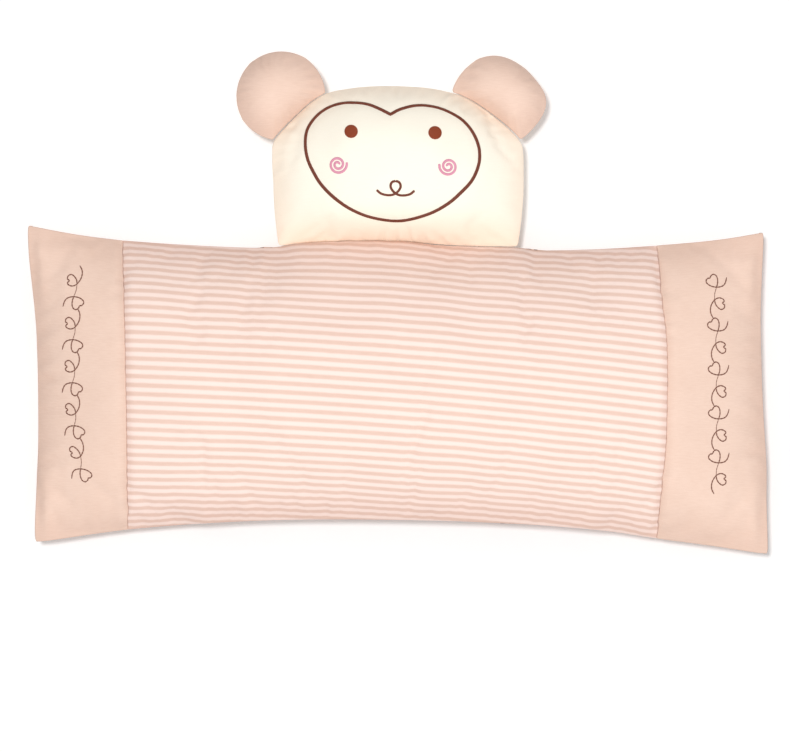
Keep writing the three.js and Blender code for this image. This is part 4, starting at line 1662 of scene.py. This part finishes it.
@dataclass
class Vine:
    """A column of heart-shaped curls in brown running thread down one end of the pillow."""

    wardrobe: Wardrobe
    hand: Hand
    drape: Drape
    period: float
    start: float
    # How far the column strays sideways, by its place across the pillow.
    sway: tuple
    units: int = 5
    curl: tuple = ((2.9, 21.3), (4.4, 18.4), (4.8, 15.4), (4.0, 12.0), (1.7, 8.7), (-1.1, 7.3), (-3.8, 7.9),
                   (-5.0, 9.5), (-3.7, 10.9), (-5.2, 12.3), (-4.6, 14.4), (-2.4, 15.1), (-0.2, 13.5),
                   (1.2, 11.3), (1.7, 8.7))
    stem: tuple = ((1.7, 8.7), (1.4, 4.4), (0, 0))
    leaf: tuple = ((-7.3, -6.8), (-6.1, -2.9), (-3.9, -0.7), (0, 0), (3.9, -0.8), (6.6, -2.7), (7.0, -4.5),
                   (5.8, -6.0), (4.3, -6.2), (3.7, -7.6), (1.9, -8.8), (0, -7.9), (-0.9, -5.6), (-0.8, -2.7),
                   (0, 0))
    bold: Stitching = Stitching(width=0.82, height=0.36, pitch=2.3, swell=0.16, ring=8, steps_per_pitch=8)
    fine: Stitching = Stitching(width=0.46, height=0.24, pitch=2.3, swell=0.2, ring=8, steps_per_pitch=8)

    def place(self, line: Array, unit: int, centre: Array) -> Array:
        """Moves one unit's line to its place; the right column is the left one turned half round."""
        turn = -self.hand.value
        placed = np.stack([centre[0] + turn * line[:, 0],
                           centre[1] + turn * (line[:, 1] + self.start - unit * self.period)], -1)
        swayed = smooth_line(self.sway, 1.0)
        placed[:, 0] += np.interp(placed[:, 1], swayed[:, 0], swayed[:, 1])
        return placed

    def build(self) -> None:
        """Sews the column and lays its backing inside the cover."""
        centre = LAYOUT.middle(f"vine_backing_{self.hand.word}")
        strands = []
        for unit in range(self.units):
            for points, stitching in ((self.curl, self.bold), (self.stem, self.fine), (self.leaf, self.bold)):
                flat = self.place(smooth_line(points, 0.3), unit, centre)
                strands.append(stitching.sew(flat, self.drape))
        vine = merged(f"embroidered_vine_{self.hand.word}", strands)
        self.wardrobe.hand_in(vine, "vine_floss", "brown_thread", f"vine_embroidery_{self.hand.word}")
        self.build_backing()

    def build_backing(self) -> None:
        """Lays a soft sheet of stabiliser under the stitches, inside the cover."""
        low, high = LAYOUT.box(f"vine_backing_{self.hand.word}")
        x, y = np.meshgrid(np.linspace(low[0], high[0], 12), np.linspace(low[1], high[1], 70))
        places, _ = self.drape.lay(np.stack([x.ravel(), y.ravel()], -1))
        points = places.reshape(x.shape + (3,)) - [0, 0, 1.1]
        backing = cloth_shell(f"vine_stabiliser_{self.hand.word}", Net(points, np.stack([x, y], -1)),
                              Side.FRONT, 0.25)
        self.wardrobe.hand_in(backing, "stabiliser", "stabiliser", f"vine_backing_{self.hand.word}")


@dataclass
class Head:
    """The head: two cream panels, their filling and the embroidered face."""

    wardrobe: Wardrobe
    pillow: PillowForm
    base_half_width: float = 81.5
    base_corner: float = 2.0
    # The head above its cheeks: up one side, over a broad shoulder and across to the middle.
    right_side: tuple = ((86, 140), (86, 150), (85.8, 160), (84, 168), (75, 177.8), (62, 188.3),
                         (50, 196), (37, 201.6), (20, 205.2), (0, 206.6))
    left_side: tuple = ((-85.5, 140), (-86.2, 150), (-86.4, 160), (-85.3, 168.5), (-77, 178.6), (-65, 190.4),
                        (-56, 197.4), (-46, 202.2), (-29, 205.4), (-14, 206.5), (0, 206.6))
    rise: float = 33.0
    drop: float = 26.0
    neck_gap: float = -0.1
    step: float = 1.9
    fill: float = 0.8
    bend_start: float = 4.8
    bend_length: float = 11.0

    def neck(self, x: Array) -> Array:
        """The pillow's upper edge at each x, where the head is sewn on."""
        share = np.asarray(x, float) / LAYOUT.half_length
        _, y = self.pillow.plan(share, np.ones_like(share), Side.FRONT)
        return y + self.neck_gap

    def outline(self) -> Array:
        """The head's outline: the neck line, two soft corners, wide cheeks and a round top.

        Returns:
            Points in local millimetres, once round.
        """
        sides = []
        for hand, side in ((1, self.right_side), (-1, self.left_side)):
            flat_end = self.base_half_width - self.base_corner
            base_x = np.linspace(0, flat_end, 40, endpoint=False) * hand
            low = self.neck(np.array([flat_end * hand, self.base_half_width * hand]))
            corner = bezier((flat_end * hand, low[0]), (self.base_half_width * hand, low[1]),
                            (self.base_half_width * hand + 0.6 * hand, low[1] + self.base_corner))
            cheek = bezier((self.base_half_width * hand + 0.6 * hand, low[1] + self.base_corner),
                           (side[0][0], 122.0), side[0])
            crown = smooth_line(side, 1.5)[:-1]
            sides.append(np.vstack([np.stack([base_x, self.neck(base_x)], -1), corner, cheek, crown]))
        right, left = sides
        return np.vstack([right, [self.right_side[-1]], left[:0:-1]])

    def build(self, face_line: Array) -> None:
        """Makes the panels and the filling.

        Args:
            face_line: the stitched outline of the face, which pulls the cloth in.
        """
        outline = self.outline()
        centre = np.array(HEAD_CENTRE)
        self.form = RoundForm(outline, centre, self.rise, self.drop, seed=41, sunk_line=face_line[::4],
                              rim_shade=0.6, neck_y=float(self.neck(np.array(0.0))))
        self.form.inflate(60, 60, Inflation(looseness=0.006, limit=2.5))
        run = self.form.panel_run(self.step)
        for side, word in ((Side.FRONT, "front"), (Side.BACK, "back")):
            net = self.form.net(side, run, run)
            panel = cloth_shell(f"head_{word}_cover", net, side, rim_thickness(net))
            self.bend(panel)
            self.wardrobe.hand_in(panel, "cream_jersey", "cream_knit", f"head_{word}_panel", None, self.fill)
            if side is Side.FRONT:
                self.drape = Drape(panel)
        self.build_filling(outline, centre)

    def build_filling(self, outline: Array, centre: Array) -> None:
        """Makes the loose fibre inside the head."""
        inner = RoundForm(outline, centre, self.rise - 2.6, self.drop - 1.5, seed=41, share=0.955, pucker=0.0)
        inner.floor = 1.4
        filling = inner.solid("head_fibre_filling", 48, 48)
        self.bend(filling)
        self.wardrobe.hand_in(filling, "fibre_filling", "fibre_filling", "head_filling", None, self.fill)

    def bend(self, piece: Piece) -> None:
        """Bakes a piece's placement into its mesh; the neck's bend span is worked out but not applied."""
        start = LAYOUT.to_row(np.array([0, LAYOUT.neck_y + self.bend_start, LAYOUT.seam_z]))
        stop = LAYOUT.to_row(np.array([0, LAYOUT.neck_y + self.bend_start + self.bend_length, LAYOUT.seam_z]))
        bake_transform(piece)


@dataclass
class Face:
    """The embroidered face: a heart-shaped line, two eyes, two cheek spirals and a looped mouth."""

    wardrobe: Wardrobe
    tilt: float = -0.0176
    # The heart from its notch: down its right side to the chin, then up its left side.
    heart_line: tuple = ((-1.8, 185.9), (5.2, 189.6), (15.7, 192.2), (26.1, 191.7), (36.6, 188.5),
                         (47.1, 182.3), (54.4, 173.4), (58.3, 162.9), (58.1, 152.4), (53.6, 141.5),
                         (45.8, 132.8), (36.6, 125), (23.5, 118.2), (5.2, 113.9), (-13.1, 115.8),
                         (-27.5, 121.1), (-39.2, 128.9),
                         (-48.4, 138.1), (-54.1, 147.2), (-58.1, 156.4), (-59.6, 166.8), (-58.1, 176.5),
                         (-52.3, 185.1), (-44.5, 190.9), (-35.3, 193.9), (-26.2, 194.3), (-17, 193),
                         (-9.2, 189.8), (-1.8, 185.9))
    mouth: tuple = ((-12.9, 2.2), (-9.6, -0.3), (-5, -1.2), (-1.0, -0.5), (2.0, 1.9), (3.4, 4.8), (2.5, 7.5),
                    (0, 8.5))
    eye_radius: float = 4.55
    eye_height: float = 0.75
    eye_pitch: float = 0.42
    cheek_radius: float = 6.2
    cheek_turns: float = 2.04
    cheek_spread: float = 37.4
    below_eyes: float = 22.6
    line: Stitching = Stitching(width=2.45, height=0.62, pitch=0.42, swell=0.09)
    cheek_line: Stitching = Stitching(width=1.75, height=0.5, pitch=0.42, swell=0.09, ring=8)
    mouth_line: Stitching = Stitching(width=1.7, height=0.5, pitch=0.42, swell=0.09, ring=8)

    def __post_init__(self) -> None:
        """Finds the face's own centre line."""
        self.x = float(LAYOUT.middle("face_outline_embroidery")[0])

    def tilted(self, flat: Array) -> Array:
        """Turns a drawing a little, as the face was sewn."""
        turned = np.array(flat, float)
        turned[:, 1] += self.tilt * (turned[:, 0] - self.x)
        return turned

    def heart(self) -> Array:
        """The heart line, with its sharp notch kept.

        Returns:
            Points in local millimetres, once round.
        """
        return smooth_line(self.heart_line, 0.4)[:-1] + [self.x, 0]

    def spiral(self, hand: Hand) -> Array:
        """A cheek's spiral from near its middle outwards."""
        eye_y = LAYOUT.middle(f"eye_{hand.word}")[1]
        middle = np.array([self.x + hand.value * self.cheek_spread, eye_y - self.below_eyes])
        share = np.linspace(0, 1, 160)
        turn = FULL_TURN * self.cheek_turns * share
        radius = 0.9 + (self.cheek_radius - 0.9) * share
        flat = np.stack([-hand.value * radius * np.cos(turn), radius * np.sin(turn)], -1)
        return self.tilted(flat + middle)

    def build(self, drape: Drape) -> None:
        """Sews every part of the face on the head.

        Args:
            drape: the head's front panel.
        """
        self.finish(merged("embroidered_face_outline", [self.line.sew(self.heart(), drape, closed=True)]),
                    "brown_floss", "brown_thread", "face_outline_embroidery")
        for hand in Hand:
            self.finish(self.eye(hand, drape), "eye_floss", "brown_thread", f"eye_{hand.word}")
            swirl = merged(f"embroidered_cheek_{hand.word}", [self.cheek_line.sew(self.spiral(hand), drape)])
            self.finish(swirl, "pink_floss", "pink_thread", f"cheek_swirl_{hand.word}")
        low, high = LAYOUT.box("nose_mouth_embroidery")
        base = np.array([(low[0] + high[0]) / 2, high[1] - 0.85 - self.mouth[-1][1]])
        strands = []
        for mirror in (1, -1):
            flat = smooth_line([(mirror * x, y) for x, y in self.mouth], 0.2) + base
            strands.append(self.mouth_line.sew(self.tilted(flat), drape))
        mouth = merged("embroidered_nose_and_mouth", strands)
        self.finish(mouth, "brown_floss", "brown_thread", "nose_mouth_embroidery")
        self.build_backing(drape)

    def eye(self, hand: Hand, drape: Drape) -> Piece:
        """Makes one eye: a domed disc of satin stitches.

        Args:
            hand: which eye.
            drape: the head's front panel.

        Returns:
            The eye.
        """
        middle = LAYOUT.middle(f"eye_{hand.word}")[:2]
        line = np.linspace(-1, 1, 72)
        p, q = np.meshgrid(line, line)
        s, t = rounded(p, q)
        out = np.minimum(np.hypot(s, t), 1)
        flat = np.stack([s * self.eye_radius, t * self.eye_radius], -1)
        ragged = 1 + 0.02 * np.cos(FULL_TURN * flat[..., 1:] / self.eye_pitch)
        places, normals = drape.lay(self.tilted((flat * ragged + middle).reshape(-1, 2)))
        thread = np.cos(FULL_TURN * flat[..., 1] / self.eye_pitch)
        dome = self.eye_height * (1 - out**4) ** 0.5 + 0.05 * thread * (out < 0.97)
        places, normals = places.reshape(p.shape + (3,)), normals.reshape(p.shape + (3,))
        cloth = np.stack([flat[..., 1], flat[..., 0]], -1)
        top = Net(places + normals * dome[..., None], cloth)
        bottom = Net(places - normals * 0.2, cloth)
        return closed_pad(f"embroidered_eye_{hand.word}", top, bottom)

    def build_backing(self, drape: Drape) -> None:
        """Lays the stabiliser inside the head, under the whole face."""
        low, high = LAYOUT.box("face_backing")
        centre, half = (low + high) / 2, (high - low) / 2
        line = np.linspace(-1, 1, 44)
        p, q = np.meshgrid(line, line)
        s, t = rounded(p, q)
        flat = np.stack([centre[0] + s * half[0], centre[1] + t * half[1]], -1)
        places, _ = drape.lay(flat.reshape(-1, 2))
        net = Net(places.reshape(p.shape + (3,)) - [0, 0, 1.2], flat)
        backing = cloth_shell("face_stabiliser", net, Side.FRONT, 0.25)
        self.finish(backing, "stabiliser", "stabiliser", "face_backing")

    def finish(self, piece: Piece, finish: str, slot: str, node: str) -> None:
        """Dresses a piece of the face and gives it to the head's body."""
        self.wardrobe.hand_in(piece, finish, slot, node, "head")


@dataclass
class Ear:
    """One round ear, sewn into the head's seam, where its fold joint lies."""

    wardrobe: Wardrobe
    hand: Hand
    head_outline: Array
    radius: float
    reach: float
    along: float
    centre_shift: float
    # Where the ear's outline is stretched: direction in degrees, amount and width.
    tugs: tuple = ()
    rise: float = 13.0
    drop: float = 18.0
    seam_gap: float = 0.25
    hinge_gap: float = 0.8
    step: float = 1.5
    fill: float = 0.7
    inset: float = 1.2
    bend_start: float = 0.5
    bend_length: float = 10.0

    def __post_init__(self) -> None:
        """Finds the ear's hinge line and centre from its joint."""
        joint = joint_named(f"ear_{self.hand.word}_fold")
        axis = np.abs(joint["axis"][:2])
        self.out = np.array([self.hand.value * axis[1], axis[0]])
        self.hinge = LAYOUT.local(Vector(joint["pos_m"]))
        along = np.array([self.hand.value * axis[0], -axis[1]])
        self.round_centre = self.hinge[:2] + self.out * (self.hinge_gap + self.reach) + along * self.along

    def outline(self, centre: Array) -> Array:
        """The ear's outline: a round that stops at the head's own outline.

        Args:
            centre: where its directions are measured from.

        Returns:
            Points in local millimetres, once round.
        """
        head_centre = np.array(HEAD_CENTRE)
        ray = self.head_outline - head_centre
        order = np.argsort(np.arctan2(ray[:, 1], ray[:, 0]))
        head_turn = np.arctan2(ray[:, 1], ray[:, 0])[order]
        head_reach = np.linalg.norm(ray, axis=1)[order] + self.seam_gap
        turn = np.linspace(-math.pi, math.pi, 360, endpoint=False)
        away = np.linspace(0, 70, 1401)
        way = np.stack([np.cos(turn), np.sin(turn)], -1)
        points = centre + way[:, None] * away[None, :, None]
        from_round = points - self.round_centre
        angle = np.arctan2(from_round[..., 1], from_round[..., 0])
        limit = np.full(angle.shape, self.radius)
        for direction, amount, width in self.tugs:
            off = (np.degrees(angle) - direction + 180) % 360 - 180
            limit = limit + amount * bell(off, width)
        beyond = np.linalg.norm(from_round, axis=-1) > limit
        from_head = points - head_centre
        head_angle = np.arctan2(from_head[..., 1], from_head[..., 0])
        head_limit = np.interp(head_angle, head_turn, head_reach, period=FULL_TURN)
        within_head = np.linalg.norm(from_head, axis=-1) < head_limit
        first = np.argmax(beyond | within_head, axis=1)
        return points[np.arange(len(turn)), first]

    def build(self) -> None:
        """Makes the ear's two panels and its filling."""
        centre = self.round_centre + self.out * self.centre_shift
        outline = self.outline(centre)
        seed = 60 + self.hand.value
        form = RoundForm(outline, centre, self.rise, self.drop, seed=seed, lump=0.35, pucker=0.3)
        form.inflate(36, 36, Inflation(looseness=0.008, limit=1.5))
        run = form.panel_run(self.step)
        for side, word in ((Side.FRONT, "front"), (Side.BACK, "back")):
            net = form.net(side, run, run)
            panel = cloth_shell(f"ear_{self.hand.word}_{word}_cover", net, side, rim_thickness(net))
            self.finish(panel, "tan_jersey", "tan_knit", f"ear_{self.hand.word}_{word}")
        inner = RoundForm(outline, centre, self.rise - self.inset, self.drop - self.inset, seed=seed,
                          share=0.95, pucker=0.0)
        inner.floor = 1.4
        filling = inner.solid(f"ear_{self.hand.word}_fibre", 32, 32)
        self.finish(filling, "fibre_filling", "fibre_filling", f"ear_{self.hand.word}_filling")

    def finish(self, piece: Piece, finish: str, slot: str, node: str) -> None:
        """Dresses a piece of the ear and bakes its placement; the bend span at the hinge is worked out but
        not applied.
        """
        start, stop = (LAYOUT.to_row(np.append(self.hinge[:2] + self.out * far, LAYOUT.seam_z))
                       for far in (self.bend_start, self.bend_length))
        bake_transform(piece)
        self.wardrobe.hand_in(piece, finish, slot, node, None, self.fill)


# --- Studio ---


@dataclass(frozen=True)
class Studio:
    """A pale floor, soft white light from all round and a camera straight above."""

    view_width: float = 0.5372
    camera_height: float = 4.0
    view_x: float = -0.0022
    view_lift: float = 0.0087
    sensor: float = 36.0
    world_strength: float = 0.45
    key_power: float = 30.5
    sun_strength: float = 1.5
    sun_angle: float = 0.18
    floor_glow: float = 0.15
    floor_size: float = 12.0
    floor_z: float = -0.0003
    object_height: float = 0.025

    def build(self) -> None:
        """Makes the camera, the floor and the lights."""
        scene = bpy.context.scene
        scene.view_settings.view_transform = "Standard"
        centre_y = LAYOUT.centre_y * MM
        data = bpy.data.cameras.new("overhead_camera")
        data.sensor_width = self.sensor
        data.lens = self.sensor * (self.camera_height - self.object_height) / self.view_width
        data.clip_end = 60
        camera = placed("overhead_camera", data)
        camera.location = (self.view_x, centre_y + self.view_lift, self.camera_height)
        scene.camera = camera
        floor = self.build_floor()
        self.build_world()
        key = self.build_lamp("key_lamp", "AREA", (0.1, -0.2, 1.85), self.key_power)
        key.data.size = 1.4
        sun = self.build_lamp("floor_lamp", "SUN", (-0.34, 0.3, 1.95), self.sun_strength)
        sun.data.angle = self.sun_angle
        self.keep_to(key, floor, "EXCLUDE")
        self.keep_to(sun, floor, "INCLUDE")

    @staticmethod
    def keep_to(lamp: Piece, floor: Piece, state: str) -> None:
        """Lets a lamp light only the floor, or all but the floor.

        Args:
            lamp: the lamp.
            floor: the floor.
            state: INCLUDE or EXCLUDE.
        """
        lit = bpy.data.collections.new(f"{lamp.name}_lights")
        lit.objects.link(floor)
        lit.collection_objects[0].light_linking.link_state = state
        lamp.light_linking.receiver_collection = lit

    def build_floor(self) -> Piece:
        """Lays the floor just under the toy and returns it."""
        half = self.floor_size / 2
        mesh = bpy.data.meshes.new("studio_floor")
        signs = ((-1, -1), (1, -1), (1, 1), (-1, 1))
        mesh.from_pydata([(x * half, y * half, self.floor_z) for x, y in signs], [], [(0, 1, 2, 3)])
        floor = placed("studio_floor", mesh)
        material = bpy.data.materials.new("studio_white")
        material.use_nodes = True
        shader = material.node_tree.nodes["Principled BSDF"]
        shader.inputs["Base Color"].default_value = (0.97, 0.97, 0.97, 1)
        shader.inputs["Roughness"].default_value = 1.0
        shader.inputs["Specular IOR Level"].default_value = 0.0
        shader.inputs["Emission Color"].default_value = (1, 1, 1, 1)
        shader.inputs["Emission Strength"].default_value = self.floor_glow
        mesh.materials.append(material)
        return floor

    def build_world(self) -> None:
        """Surrounds the toy with even white light."""
        world = bpy.data.worlds.new("studio_light")
        world.use_nodes = True
        background = world.node_tree.nodes["Background"]
        background.inputs["Color"].default_value = (1, 1, 1, 1)
        sheet = Sheet(world.node_tree)
        seen = sheet.node("ShaderNodeLightPath").outputs["Is Camera Ray"]
        strength = sheet.ranged(seen, 0.0, 1.0, self.world_strength, 1.0)
        sheet.tree.links.new(strength, background.inputs["Strength"])
        bpy.context.scene.world = world

    def build_lamp(self, name: str, kind: str, place: tuple, power: float) -> Piece:
        """Adds one lamp that faces the pillow.

        Args:
            name: the lamp's name.
            kind: its type.
            place: where it stands, from the pillow's centre, in metres.
            power: its power.

        Returns:
            The lamp.
        """
        data = bpy.data.lights.new(name, kind)
        data.energy = power
        lamp = placed(name, data)
        lamp.location = Vector(place) + Vector((0, LAYOUT.centre_y * MM, 0))
        lamp.rotation_mode = "QUATERNION"
        lamp.rotation_quaternion = (-Vector(place)).to_track_quat("-Z", "Y")
        return lamp


def main() -> None:
    """Builds the studio and the toy, part by part."""
    Studio().build()
    wardrobe = Wardrobe()
    pillow = PillowForm()
    pillow.inflate(126, 56, Inflation())
    cover = PillowCover(wardrobe, pillow)
    cover.build()
    InnerPad(wardrobe).build()
    Zip(wardrobe).build()
    Vine(wardrobe, Hand.LEFT, Drape(cover.panels["front_left_panel"]), period=29.2, start=55.8,
         sway=((-90, 7.6), (-62, 5.4), (-33, 0.7), (-4, -1.2), (26, -1.1), (55, -0.7), (80, 0.4))).build()
    Vine(wardrobe, Hand.RIGHT, Drape(cover.panels["front_right_panel"]), period=29.8, start=56.9,
         sway=((-90, -2.4), (0, -2.6), (50, -3.2), (80, -3.8))).build()
    face = Face(wardrobe)
    head = Head(wardrobe, pillow)
    head.build(face.heart())
    face.build(head.drape)
    outline = head.outline()
    Ear(wardrobe, Hand.LEFT, outline, radius=30.8, reach=14.7, along=0.0, centre_shift=7.0).build()
    Ear(wardrobe, Hand.RIGHT, outline, radius=31.0, reach=2.0, along=-7.0, centre_shift=13.0,
        tugs=((2.0, 4.2, 24.0), (95.0, 1.6, 28.0))).build()


if __name__ == "__main__":
    main()
